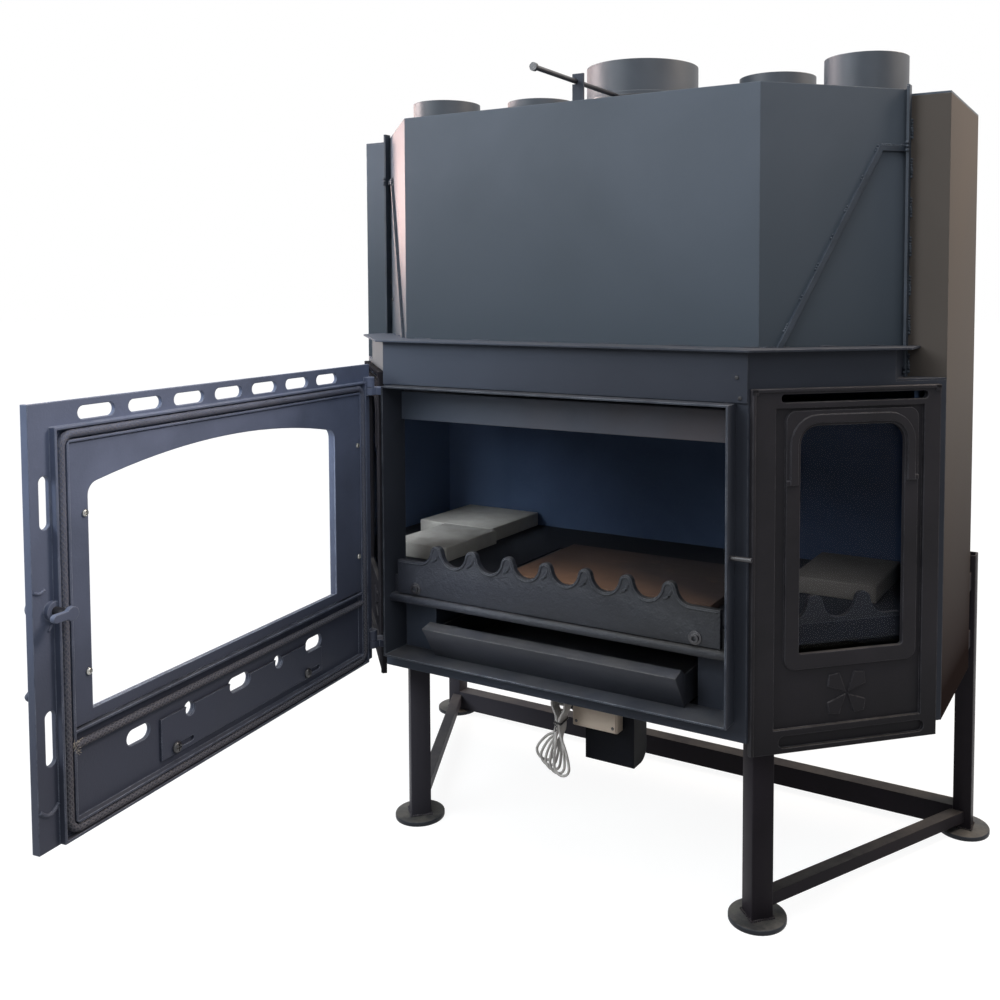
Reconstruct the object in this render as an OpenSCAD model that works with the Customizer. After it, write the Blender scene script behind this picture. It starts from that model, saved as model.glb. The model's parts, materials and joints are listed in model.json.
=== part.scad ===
// Fireplace insert with a wide swing-open door, two angled side windows,
// an ash drawer, a convection hood with air outlets and a leg frame.
// Lengths are in millimetres. X is to the right, Y to the back, Z up.
// The flue axis stands over the origin and the floor is at z = 0.

/* [Casing] */
// width of the front face
face_w = 650; // [640:1:680]
// width of each angled side, seen from the front
wing_w = 225; // [215:1:235]
// depth from the front face to the back panel
body_d = 475; // [460:1:500]
// depth of the straight side panels
side_d = 250; // [235:1:265]
// distance from the front face back to the flue axis
flue_back = 335; // [325:1:345]
// height of the body's underside above the floor
leg_h = 300; // [270:1:340]
// height of the body from its underside up to the shelf
body_h = 558; // [550:1:590]
// thickness of the casing sheets
case_t = 3; // [2:0.5:4]
// how far the shelf stands out past the body
shelf_over = 15; // [8:1:22]
// thickness of the shelf plate
shelf_t = 3; // [2:0.5:5]
// width of the shelf inside the hood's foot
shelf_in = 20; // [12:1:30]
// how far the shelf's cut rear corners lie inside the side panels
shelf_side = 38; // [25:1:48]

/* [Hood] */
// height of the hood above the shelf
hood_h = 380; // [340:1:420]
// how far the hood's front stands behind the face
hood_back = 55; // [45:1:70]
// how much narrower the hood's front is than the face, on each side
hood_side = 5; // [0:1:15]
// width of the strips beside the hood
strip_w = 60; // [50:1:70]
// how far the strips run down past the shelf
strip_drop = 43; // [35:1:60]
// how far the top plate lies below the hood's edge
top_drop = 7; // [3:1:12]
// depth of the seam bars
seam_d = 15; // [10:1:20]
// thickness of the seam bars
seam_t = 4; // [3:0.5:6]
// how far the seam bars stand above the hood
seam_up = 5; // [0:1:10]
// width of the bent stiffener bars
stiff_w = 8; // [5:1:12]
// thickness of the bent stiffener bars
stiff_t = 5; // [3:1:8]
// height of the stiffener's level part above the shelf
stiff_z = 296; // [240:1:330]

/* [Flue and outlets] */
// outside radius of the flue
flue_r = 100; // [90:0.5:105]
// wall of the flue
flue_t = 3; // [2:0.5:5]
// height of the flue's rim above the hood's edge
flue_up = 99; // [80:1:120]
// length of the plain end of the flue that a pipe slides over
flue_end = 54; // [48:0.5:56]
// how much thicker the flue is below its plain end
flue_step = 2; // [1:0.5:2.5]
// wall of the smoke pipe inside the hood
pipe_t = 2; // [1.5:0.5:2.5]
// outside radius of the warm-air outlets
outlet_r = 65; // [60:0.5:70]
// wall of the warm-air outlets
outlet_t = 2.5; // [2:0.5:4]
// height of an outlet above the top plate
outlet_h = 73; // [60:1:90]
// distance of the outer outlets from the side panels
outlet_in1 = 142; // [135:1:150]
// depth place of the outer outlets
outlet_y1 = -35; // [-40:1:-25]
// distance of the inner outlets from the side panels
outlet_in2 = 312; // [300:1:322]
// depth place of the inner outlets
outlet_y2 = 41; // [30:1:50]
// height of the damper gate above the hood's edge
gate_up = 37; // [25:1:45]
// thickness of the damper gate
gate_t = 3; // [2:0.5:5]
// clearance of the gate in its slot
gate_gap = 0.3; // [0.2:0.1:0.6]
// side clearance of the gate inside the flue
gate_side = 1.5; // [1:0.5:3]
// how far the gate's front stands out of the flue
gate_out = 8; // [4:1:12]
// radius of the damper rod
rod_r = 4; // [3:0.5:5]
// how far the rod's tip stands in front of the face
rod_out = 36; // [20:1:60]
// place of the rod's guide behind the face
guide_back = 88; // [80:1:100]
// thickness of the rod's guide
guide_t = 4; // [3:0.5:6]
// width of the rod's guide
guide_w = 20; // [16:1:28]
// clearance round the rod in its guide
guide_gap = 0.3; // [0.2:0.1:0.6]

/* [Door opening] */
// width of the face plate beside the collar
face_rim = 18; // [15:1:23]
// outside height of the collar
collar_h = 458; // [448:1:466]
// height of the collar's underside above the body's
collar_up = 27; // [22:1:32]
// thickness of the collar sheet
collar_t = 3; // [2:0.5:4]
// how far the collar stands in front of the face
collar_out = 31; // [26:1:36]
// how far the collar reaches in behind the face
collar_in = 28; // [20:1:36]
// thickness of the band plate above the door
band_t = 3; // [2:0.5:4]
// height of the inner lintel
lintel_h = 47; // [35:1:60]
// drop of the inner lintel below the collar's top
lintel_drop = 13; // [6:1:20]
// place of the inner lintel behind the face
lintel_back = 20; // [14:1:24]

/* [Fire chamber] */
// width of the air duct between the chamber and the side panels
duct_w = 35; // [27:1:45]
// gap between the chamber's back and the back panel
duct_d = 31; // [20:1:40]
// thickness of the chamber plates
plate_t = 4; // [3:0.5:6]
// height of the chamber floor's underside above the body's
floor_up = 21; // [15:1:25]
// top face of the hearth above the body's underside
hearth_up = 161; // [150:1:170]
// thickness of the hearth bricks
hearth_t = 30; // [24:1:36]
// height of the chamber top plate's underside
roof_up = 504; // [496:1:506]
// width of the ash grate
grate_w = 300; // [260:1:340]
// depth of the ash grate
grate_d = 180; // [150:1:200]
// thickness of the ash grate
grate_t = 14; // [10:1:18]
// clearance round the grate and other loose pieces
loose = 1; // [0.5:0.5:2]
// width of the step that carries the grate
grate_step = 10; // [6:1:14]
// place of the grate's middle behind the face
grate_back = 205; // [190:1:215]
// thickness of the smoke baffle
baffle_t = 8; // [6:1:12]
// depth of the smoke baffle
baffle_d = 250; // [220:1:280]
// drop of the baffle's top below the chamber roof
baffle_drop = 50; // [44:1:60]
// gap between the ash drawer and the bay's side plates
bay_gap = 12; // [8:1:22]
// thickness of the ash bay's plates
bay_t = 3; // [2:0.5:4]

/* [Log fence] */
// thickness of the cast log fence
fence_t = 10; // [8:1:12]
// how far the log fence ends inside the collar, on each side
fence_side = 17; // [12:1:22]
// height of the log fence from its foot to a valley
fence_h = 56; // [48:1:60]
// height of the teeth over the valleys
tooth_h = 31; // [24:1:36]
// distance between the teeth
tooth_pitch = 70; // [66:1:74]
// number of teeth on the front fence
tooth_n = 7; // [5:2:7]
// radius of a tooth's tip
tooth_r = 11; // [9:0.5:12]
// thickness of the apron that carries the fence
apron_t = 3; // [2:0.5:4]
// height of the apron below the hearth's top
apron_h = 43; // [40:1:48]
// height of the ledge bar below the fence
ledge_h = 14; // [10:1:15]
// depth of the ledge bar
ledge_d = 16; // [12:1:20]
// gap between the ledge bar and the fence
fence_gap = 2; // [1:0.5:4]
// distance of the fence bolts from the fence's ends
bolt_in = 38; // [30:1:50]
// radius of the bolt heads
bolt_r = 6; // [4:0.5:8]
// distance between the side fence's teeth
side_pitch = 78; // [72:1:80]
// thickness of the side fences
side_fence_t = 8; // [6:1:9]
// place of the side fences behind the angled panels
side_fence_in = 12; // [10:1:13]

/* [Ash drawer] */
// width of the opening on each side of the drawer front
drawer_side = 79; // [76:1:87]
// depth of the drawer tray
drawer_d = 320; // [280:1:340]
// height of the drawer tray
drawer_h = 48; // [40:1:54]
// thickness of the drawer sheet
drawer_t = 2; // [1.5:0.5:3]
// thickness of the bent drawer front
front_t = 3; // [2:0.5:4]
// clearance under the drawer
drawer_gap = 0.3; // [0.3:0.1:0.8]
// height of the drawer front's lip above the tray's bottom
lip_h = 54.7; // [50:0.1:58]
// how far the drawer front slopes back to its foot
lip_slope = 35; // [30:1:38]
// how far the front lip stands in front of the face
lip_out = 28; // [20:1:28]
// width of the runners under the drawer
runner_w = 20; // [14:1:26]

/* [Door] */
// how far the door covers the collar on the hinge side
door_lap = 30; // [28:1:32]
// how far the door covers the collar on the latch side
latch_lap = 36; // [34:1:40]
// height of the door
door_h = 503; // [498:1:510]
// height of the door's underside above the body's
door_up = 18; // [12:1:20]
// thickness of the door plate
door_t = 5.5; // [4:0.5:6]
// distance of the hinge axis from the door's edge
hinge_in = 9; // [8:0.5:10]
// place of the hinge axis in front of the face
hinge_out = 36; // [34:0.5:38]
// radius of the hinge pins
pin_r = 4; // [3:0.5:5]
// radius of the door's hinge eyes
eye_r = 9; // [8:0.5:9]
// height of a hinge eye
eye_h = 17.5; // [12:0.5:24]
// running clearance of the hinge pins
pin_fit = 0.05; // [0.02:0.01:0.08]
// play between a hinge eye and its bracket
eye_gap = 0.5; // [0.3:0.1:1]
// height of a hinge bracket
lug_h = 12; // [8:1:16]
// height of the lower hinge bracket above the body's underside
lug_low = 40; // [34:1:60]
// height of the upper hinge bracket above the lower one
lug_pitch = 430; // [400:1:434]
// angle that the door stands open at rest
door_rest = 82; // [60:1:90]
// distance of the door plate's back in front of the hinge axis
plate_front = 5.5; // [5:0.1:6]
// thickness of the rope gasket
rope_d = 10; // [8:0.5:10]
// gap of the rope to the plate and, closed, to the collar
rope_gap = 0.2; // [0.1:0.05:0.3]
// radius of the rope's corners
rope_bend = 15; // [12:1:20]
// thickness of the cast ribs beside the rope
rib_t = 3; // [2:0.5:5]
// height of the cast ribs over the plate
rib_h = 8.5; // [6:0.5:8.5]
// gap between the rope and its ribs
rib_gap = 1.5; // [1:0.5:2.5]
// edge of the glass opening from the latch side
light_end = 74; // [70:1:80]
// edge of the glass opening from the hinge side
light_x = 111; // [105:1:115]
// height of the glass opening's sill over the door's foot
light_up = 142; // [138:1:150]
// height of the glass opening at its sides
light_h = 262; // [250:1:270]
// rise of the glass opening's arch
light_rise = 26; // [20:1:34]
// thickness of the door glass
glass_t = 4; // [3:0.5:4]
// overlap of the door glass behind its retainer
glass_lap = 14; // [10:1:18]
// thickness of the glass retainer
keep_t = 2; // [1.5:0.5:3]
// number of air slots along the top
slot_n = 7; // [5:1:7]
// distance of the first top slot from the hinge edge
slot_start = 122; // [118:1:126]
// distance of the last top slot from the latch edge
slot_end = 96; // [92:1:100]
// width of the bridge between two top slots
slot_rib = 21; // [16:1:28]
// height of a top slot
slot_h = 16; // [12:1:18]
// height of a lower air slot
vent_h = 20; // [16:1:22]

/* [Latch and air slide] */
// radius of the latch spindle
spindle_r = 5; // [4:0.5:6]
// running clearance of the spindle
spindle_fit = 0.06; // [0.03:0.01:0.1]
// distance of the spindle from the door's latch edge
spindle_in = 25; // [22:1:30]
// height of the spindle over the door's foot
spindle_up = 270; // [262:1:276]
// length of the latch finger
finger_l = 26; // [24:1:28]
// thickness of the latch finger
finger_t = 6; // [4:0.5:7]
// width of the latch finger
finger_w = 9; // [7:0.5:10]
// gap between the closed finger and the keeper
finger_gap = 1.5; // [1:0.5:3]
// radius of the keeper pin
keeper_r = 3.5; // [3:0.5:4]
// length of the keeper pin
keeper_l = 32; // [26:1:34]
// how far the keeper pin stands in front of the face
keeper_out = 20; // [19:0.5:22]
// drop of the keeper pin below the spindle
keeper_drop = 18; // [17:1:20]
// length of the handle lever
lever_l = 112; // [80:1:120]
// distance of the handle lever from the boss
lever_gap = 3; // [2:0.5:12]
// how far the lever's tip turns out
lever_tip = 14; // [8:1:20]
// radius of the handle lever
lever_r = 7; // [5:0.5:9]
// radius of the boss round the spindle
boss_r = 11; // [9:1:14]
// depth of the boss in front of the door plate
boss_h = 8; // [5:1:12]
// distance of the air slide from the door's hinge edge
slide_x = 150; // [146:1:156]
// distance of the air slide from the door's latch edge
slide_end = 184; // [180:1:190]
// height of the air slide
slide_h = 54; // [48:1:56]
// thickness of the door's free edge, which stands out to the front
edge_t = 5; // [3:1:8]
// distance of the upright slots' middle from the free edge
edge_slot_in = 19; // [17:0.5:20]
// width of the upright slots
edge_slot_w = 14; // [9:1:15]
// height of the lower upright slot above the door's foot
edge_slot_z1 = 126; // [115:1:135]
// height of the upper upright slot above the door's foot
edge_slot_z2 = 392; // [380:1:400]
// radius of the upper corners of the door's glass
light_r = 16; // [8:1:24]
// thickness of the air slide
slide_t = 3; // [2:0.5:4]
// travel of the air slide
slide_go = 30; // [20:1:32]
// clearance behind the air slide
slide_gap = 0.3; // [0.2:0.1:0.6]

/* [Side windows] */
// radius of the window's upper corners
corner_r = 27; // [20:1:34]
// radius of the window's lower corners
corner_low = 5; // [3:1:10]
// how far the ring reaches round the window
ring_w = 22; // [18:1:24]
// radius of the ring's outer corners
ring_r = 15; // [10:1:20]
// width of the arched moulding over the window
arch_w = 12; // [9:1:15]
// height of the arched moulding
arch_h = 84; // [70:1:110]
// width of a window frame
wframe_w = 301; // [295:1:303]
// height of a window frame
wframe_h = 523; // [515:1:530]
// how far a window frame hangs below the body
wframe_drop = 17; // [10:1:22]
// place of a window frame from the face's corner
wframe_s = 3; // [2:1:6]
// thickness of a window frame
wframe_t = 8; // [7:0.5:10]
// thickness of the window frame's back plate
wback_t = 3; // [2:0.5:4]
// width of a window's glass opening
pane_w = 168; // [150:1:175]
// height of a window's glass opening
pane_h = 328; // [310:1:332]
// thickness of the window glass
pane_t = 4; // [3:0.5:4]
// lap of the window glass behind the panel
pane_lap = 6; // [5:1:7]

/* [Leg frame] */
// side of the front legs' square tube
leg_a = 35; // [30:1:40]
// how far the front legs stand inside the face's edges
leg_in = 8; // [4:1:18]
// place of the front legs behind the face
leg_y = 78; // [70:1:90]
// wall of the leg tubes
tube_t = 3; // [2:0.5:4]
// side of the rear legs' square tube
rear_a = 30; // [25:1:34]
// how far the rear legs stand inside the side panels
rear_in = 9; // [4:1:15]
// gap between the back panel and the rear legs
rear_gap = 18; // [10:1:26]
// how far the rear legs reach up beside the body
rear_up = 190; // [160:1:230]
// radius of the foot plates
foot_r = 44; // [38:1:48]
// thickness of the foot plates
foot_t = 8; // [5:1:10]
// height of the side braces' tube
brace_a = 20; // [18:1:24]
// height of the side braces above the floor
brace_z = 19; // [11:1:30]
// height of the rear bar's tube
bar_h = 38; // [30:1:44]

/* [Blower and lead] */
// width of the blower housing
blower_w = 88; // [84:1:96]
// depth of the blower housing
blower_d = 46; // [44:1:54]
// height of the blower housing
blower_h = 118; // [112:1:124]
// sideways place of the blower's left side
blower_x = 22; // [20:1:24]
// place of the blower behind the face
blower_y = 80; // [76:1:90]
// wall of the blower housing
blower_t = 2; // [1.5:0.5:3]
// radius of the blower wheel
wheel_r = 36; // [32:0.5:37]
// width of the blower wheel
wheel_w = 22; // [18:1:24]
// number of blades on the wheel
blade_n = 16; // [12:2:20]
// radius of the wheel's shaft
shaft_r = 2; // [1.5:0.5:3]
// width of the control box
box_w = 82; // [78:1:88]
// depth of the control box
box_d = 20; // [16:1:24]
// height of the control box
box_h = 44; // [40:1:50]
// drop of the control box's top below the body
box_drop = 15; // [10:1:20]
// diameter of the lead
lead_d = 4.5; // [4:0.1:5]
// number of loops in the hank
loop_n = 5; // [3:1:6]

/* [Loose bricks] */
// width of the front slab
slab_w1 = 123; // [110:1:130]
// depth of the front slab
slab_d1 = 162; // [150:1:170]
// width of the rear slab
slab_w2 = 171; // [160:1:180]
// depth of the rear slab
slab_d2 = 172; // [160:1:176]
// width of the right slab
slab_w3 = 134; // [125:1:136]
// depth of the right slab
slab_d3 = 172; // [160:1:176]
// distance of the right slab from the chamber's right wall
slab_side3 = 60; // [50:1:64]
// distance of the right slab behind the front face
slab_back3 = 228; // [220:1:236]
// thickness of the fireclay slabs
slab_t = 27; // [20:1:32]
// width of the board on the hearth
board_w = 366; // [350:1:380]
// depth of the board on the hearth
board_d = 230; // [215:1:240]
// thickness of the board on the hearth
board_t = 12; // [8:1:16]

/* [Hidden] */
$fn = 64;
eps = 0.01;
body_w = face_w + 2*wing_w;
shelf_w = body_w - 2*shelf_side;
hood_w = face_w - 2*hood_side;
outlet_x1 = body_w/2 - outlet_in1;
outlet_x2 = body_w/2 - outlet_in2;
collar_w = face_w - 2*face_rim;
chamber_w = body_w - 2*duct_w;
fence_w = collar_w - 2*fence_side;
bolt_w = fence_w - 2*bolt_in;
drawer_w = collar_w - 2*drawer_side;
bay_x = drawer_w/2 + bay_gap;
door_w = collar_w + door_lap + latch_lap;
light_w = door_w - light_x - light_end;
spindle_x = door_w - spindle_in;
slide_w = door_w - slide_x - slide_end;
slot_pitch = (door_w - slot_start - slot_end)/(slot_n - 1);
slot_w = slot_pitch - slot_rib;
leg_x = face_w/2 - leg_in;
rear_x = body_w/2 - rear_in;
fy = -flue_back;
by = fy + body_d;
sy = by - side_d;
z0 = leg_h;
zs = leg_h + body_h;
zh = zs + shelf_t;
ze = zh + hood_h;
zt = ze - top_drop - case_t;
ang = atan2(sy - fy, (body_w - face_w)/2);
seam_x = body_w/2 - strip_w;
hood_y = fy + hood_back;
hang = atan2(sy - hood_y, seam_x - hood_w/2);
strip_z = zs - strip_drop;
// the casing's plan, and the same plan drawn in by a thickness
function plan(t) = [
  [-face_w/2 + t*tan(ang/2), fy + t], [face_w/2 - t*tan(ang/2), fy + t],
  [body_w/2 - t, sy + t*tan((90 - ang)/2)], [body_w/2 - t, by - t],
  [-body_w/2 + t, by - t], [-body_w/2 + t, sy + t*tan((90 - ang)/2)]];
po = plan(0);
pi_ = plan(case_t);
// the line that lies a distance t behind the angled panel's outer face
function behind_y(t, x) = plan(t)[1][1] + (x - plan(t)[1][0])*tan(ang);
function behind_x(t, y) = plan(t)[1][0] + (y - plan(t)[1][1])/tan(ang);
function inner_y(x) = behind_y(case_t, x);
function inner_x(y) = behind_x(case_t, y);
function unit(v) = v/norm(v);
function side_n(p, q) = let(d = unit(q - p)) [-d[1], d[0]];
// a strip of even width along two joined lines
function bend3(a, b, c, t) =
  let(n1 = side_n(a, b), n2 = side_n(b, c), m = (n1 + n2)/(1 + n1*n2))
  [a, b, c, c + n2*t, b + m*t, a + n1*t];

zc0 = z0 + collar_up;
zc1 = zc0 + collar_h;
col_x = collar_w/2;
col_in = col_x - collar_t;
col_y0 = fy - collar_out;
col_y1 = fy + collar_in;
zf = z0 + floor_up;
zfl = zf + plate_t;
zhe = z0 + hearth_up;
zhb = zhe - hearth_t;
zr = z0 + roof_up;
cx = chamber_w/2;
cxi = cx - plate_t;
cy1 = by - duct_d;
cyi = cy1 - plate_t;
zg = ze + gate_up;

module outline(pts, za, zb) {
  translate([0, 0, za]) linear_extrude(zb - za) polygon(pts);
}
module sheet(i, za, zb) {
  j = (i + 1) % 6;
  outline([po[i], po[j], pi_[j], pi_[i]], za, zb);
}
module flip() { mirror([1, 0, 0]) children(); }
// local frame on the right angled panel: x along it, y into the body
module on_side() { translate([face_w/2, fy, 0]) rotate([0, 0, ang]) children(); }
module on_hood() { translate([hood_w/2, hood_y, 0]) rotate([0, 0, hang]) children(); }
module box(a, b) { translate(a) cube(b - a); }
// a profile in depth and height, drawn out across the part
module across(pts, xa, xb) {
  translate([xa, 0, 0]) rotate([90, 0, 90]) linear_extrude(xb - xa) polygon(pts);
}
// a profile in width and height, drawn out in depth
module deep(pts, ya, yb) {
  translate([0, yb, 0]) rotate([90, 0, 0]) linear_extrude(yb - ya) polygon(pts);
}
module rod_y(x, z, r, ya, yb) {
  translate([x, yb, z]) rotate([90, 0, 0]) cylinder(r = r, h = yb - ya);
}
module rod_x(y, z, r, xa, xb) {
  translate([xa, y, z]) rotate([0, 90, 0]) cylinder(r = r, h = xb - xa);
}
// a slot with round ends, cut through in depth
module slot_y(x, z, w, h, ya, yb) {
  box([x - w/2 + h/2, ya, z - h/2], [x + w/2 - h/2, yb, z + h/2]);
  rod_y(x - w/2 + h/2, z, h/2, ya, yb);
  rod_y(x + w/2 - h/2, z, h/2, ya, yb);
}
module slot_up(x, z, w, h, ya, yb) {
  box([x - w/2, ya, z - h/2 + w/2], [x + w/2, yb, z + h/2 - w/2]);
  rod_y(x, z - h/2 + w/2, w/2, ya, yb);
  rod_y(x, z + h/2 - w/2, w/2, ya, yb);
}

casing = [0.25, 0.26, 0.28];
cast = [0.2, 0.21, 0.23];
steel = [0.55, 0.55, 0.56];

// the face plate, with the band plate welded on above the opening
module front_frame() {
  color(casing) {
    difference() {
      sheet(0, z0, zs);
      box([-col_x, fy - 1, zc0], [col_x, fy + case_t + 1, zc1]);
    }
    box([-face_w/2, fy - band_t, zc1 + 1], [face_w/2, fy, zs]);
  }
}
module door_collar() {
  color(casing) difference() {
    box([-col_x, col_y0, zc0], [col_x, col_y1, zc1]);
    box([-col_in, col_y0 - 1, zc0 + collar_t], [col_in, col_y1 + 1, zc1 - collar_t]);
  }
}
module inner_lintel() {
  z1 = zc1 - lintel_drop;
  color([0.3, 0.25, 0.22]) box([-col_in, fy + lintel_back, z1 - lintel_h],
    [col_in, fy + lintel_back + collar_t, z1]);
}

pane_s = wframe_s + 75;
// the long slots above and below each window
wslot_s = wframe_s + wframe_w/2 + 11.5;
wslot_w = wframe_w - 65;
wslot_h = 12;
wslot_z = z0 - wframe_drop + wframe_h - 14;
pane_z = z0 - wframe_drop + 141;
// the window opening, grown by a margin, with cut upper corners
function arc_run(x, z, r, a) = [for (i = [0 : 6]) [x + r*cos(a + 15*i), z + r*sin(a + 15*i)]];
function round_run(s0, q0, s1, q1, rl, ru) = concat(arc_run(s0 + rl, q0 + rl, rl, 180),
  arc_run(s1 - rl, q0 + rl, rl, 270), arc_run(s1 - ru, q1 - ru, ru, 0), arc_run(s0 + ru, q1 - ru, ru, 90));
module window_shape(m, rl, ru, ya, yb) {
  deep(round_run(pane_s - m, pane_z - m, pane_s + pane_w + m, pane_z + pane_h + m, rl, ru), ya, yb);
}
module window_hole(m, ya, yb) { window_shape(m, corner_low + m, corner_r + m, ya, yb); }
module angled_panel() {
  color(casing) difference() {
    union() {
      sheet(1, z0, strip_z - case_t);
      intersection() {
        sheet(1, strip_z - case_t, zs);
        box([0, fy - 1, z0], [seam_x, by, zs]);
      }
    }
    on_side() {
      window_hole(8, -1, case_t + 1);
      slot_y(wslot_s, wslot_z, wslot_w, wslot_h, -1, case_t + 1);
    }
  }
  window_clips();
}
module angled_panel_right() { angled_panel(); }
module angled_panel_left() { flip() angled_panel(); }
module side_panel() {
  color(casing) {
    sheet(2, z0, zt);
    outline([[seam_x - seam_t, sy], po[2], po[2] + [0, case_t],
      [seam_x - seam_t, sy + case_t]], strip_z, zt);
  }
}
module side_panel_right() { side_panel(); }
module side_panel_left() { flip() side_panel(); }
module back_panel() { color(casing) sheet(3, z0, zt); }
module corner_closure() {
  a = seam_x; b = seam_x - case_t;
  color(casing) {
    outline([[a, inner_y(a)], [a, sy], [b, sy], [b, inner_y(b)]], strip_z - case_t, zs);
    outline([[a, sy - (po[2][0] - a)*tan(ang)], po[2], pi_[2],
      [pi_[2][0], sy + case_t], [a, sy + case_t]], strip_z - case_t, strip_z);
  }
}
module corner_closures() { corner_closure(); flip() corner_closure(); }
module bottom_plate() {
  color(casing) difference() {
    outline(pi_, z0, z0 + case_t);
    box([blower_x + blower_t, fy + blower_y + blower_t, z0 - 1],
      [blower_x + blower_w - blower_t, fy + blower_y + blower_d - blower_t, z0 + case_t + 1]);
    translate([hank_x + lobe_r, fy + hank_y, z0 - 1]) cylinder(r = lead_d/2 + 1, h = case_t + 2);
  }
}
module shelf_flange() {
  x1 = face_w/2 + shelf_over*tan(ang/2);
  y1 = fy - shelf_over;
  x2 = shelf_w/2;
  y2 = y1 + (x2 - x1)*tan(ang);
  hx = hood_w/2 - shelf_in*tan(hang/2);
  hy = hood_y + shelf_in;
  hx2 = hx + (sy - hy)/tan(hang);
  color(casing) outline([[-x1, y1], [x1, y1], [x2, y2], [x2, sy],
    [seam_x + seam_t, sy], [seam_x + seam_t, sy - seam_d], [seam_x, sy - seam_d],
    [seam_x, sy], [hx2, sy], [hx, hy], [-hx, hy], [-hx2, sy],
    [-seam_x, sy], [-seam_x, sy - seam_d], [-seam_x - seam_t, sy - seam_d],
    [-seam_x - seam_t, sy], [-x2, sy], [-x2, y2]], zs, zh);
}
function hood_in(t) = [hood_w/2 - t*tan(hang/2), hood_y + t];
function hood_end(t) = [hood_in(t)[0] + (sy - hood_in(t)[1])/tan(hang), sy];
module hood_shell() {
  a = hood_in(0); b = hood_end(0); c = hood_in(case_t); d = hood_end(case_t);
  color(casing) outline([[-b[0], b[1]], [-a[0], a[1]], a, b, d, c,
    [-c[0], c[1]], [-d[0], d[1]]], zh, ze);
}
module top_plate() {
  c = hood_in(case_t); d = hood_end(case_t);
  color(casing) difference() {
    outline([[-c[0], c[1]], c, d, po[2], po[3], po[4], po[5], [-d[0], d[1]]], zt, zt + case_t);
    translate([0, 0, zt - 1]) cylinder(r = flue_r - flue_t, h = case_t + 2);
    for (s = [-1, 1]) {
      translate([s*outlet_x1, outlet_y1, zt - 1])
        cylinder(r = outlet_r - outlet_t, h = case_t + 2);
      translate([s*outlet_x2, outlet_y2, zt - 1])
        cylinder(r = outlet_r - outlet_t, h = case_t + 2);
    }
  }
}
module seam_bar() {
  color(casing) box([seam_x, sy - seam_d, strip_z], [seam_x + seam_t, sy, ze + seam_up]);
}
module stiffener() {
  s1 = norm(hood_end(0) - hood_in(0)) - 2;
  color(casing) on_hood() intersection() {
    deep(bend3([s1, zh + stiff_z], [s1 - 48, zh + stiff_z], [23, zh - stiff_w], stiff_w),
      -stiff_t, 0);
    box([0, -stiff_t - 1, zh], [s1, 1, ze]);
  }
}
// the upright bars at the hood's seams and the bent stiffeners on its sides
module hood_bars() {
  seam_bar();
  stiffener();
  flip() { seam_bar(); stiffener(); }
}

module smoke_pipe() {
  color(cast) translate([0, 0, zr + plate_t]) difference() {
    cylinder(r = flue_r - flue_t + pipe_t, h = zt - zr - plate_t);
    translate([0, 0, -1]) cylinder(r = flue_r - flue_t, h = zt - zr);
  }
}
module flue_collar() {
  gr = flue_r - flue_t - gate_side;
  color(casing) difference() {
    union() {
      translate([0, 0, zt + case_t]) cylinder(r = flue_r, h = ze + flue_up - zt - case_t);
      translate([0, 0, zt + case_t])
        cylinder(r = flue_r + flue_step, h = ze + flue_up - flue_end - zt - case_t);
    }
    translate([0, 0, zt]) cylinder(r = flue_r - flue_t, h = 1000);
    box([-gr - 0.5, -flue_r - flue_step - 1, zg - gate_t/2 - gate_gap],
      [gr + 0.5, -flue_r*0.12, zg + gate_t/2 + gate_gap]);
  }
}
module outlet(x, y) {
  color(casing) difference() {
    translate([x, y, zt + case_t]) cylinder(r = outlet_r, h = outlet_h);
    translate([x, y, zt]) cylinder(r = outlet_r - outlet_t, h = outlet_h + 20);
  }
}
module outlets_left() { outlet(-outlet_x1, outlet_y1); outlet(-outlet_x2, outlet_y2); }
module outlets_right() { outlet(outlet_x1, outlet_y1); outlet(outlet_x2, outlet_y2); }
rod_y0 = fy - rod_out;
gate_y0 = -flue_r - gate_out;
module gate_plate() {
  gr = flue_r - flue_t - gate_side;
  color(steel) translate([0, 0, zg - gate_t/2]) difference() {
    union() {
      cylinder(r = gr, h = gate_t);
      intersection() {
        translate([-gr, -flue_r - gate_out, 0]) cube([2*gr, flue_r + gate_out, gate_t]);
        translate([0, -gate_out, 0]) cylinder(r = flue_r, h = gate_t);
      }
    }
    translate([0, 45, -1]) cylinder(r = 20, h = gate_t + 2);
  }
}
// the sliding gate with its pull rod
module damper_gate() {
  gate_plate();
  color(steel) {
    rod_y(0, zg, rod_r, rod_y0, gate_y0 - 6);
    box([-6, gate_y0 - 14, zg - gate_t/2], [6, gate_y0, zg + gate_t/2]);
    rod_y(0, zg, rod_r*1.6, rod_y0 - 6, rod_y0);
  }
}
module damper_guide() {
  gy = fy + guide_back;
  gh = rod_r + guide_gap;
  color(casing) difference() {
    box([-guide_w*0.3, gy, zt + case_t], [guide_w*0.7, gy + guide_t, zg + rod_r + 8]);
    rod_y(0, zg, gh, gy - 1, gy + guide_t + 1);
    box([-guide_w, gy - 1, zg - gh], [0, gy + guide_t + 1, zg + gh]);
  }
}

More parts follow.
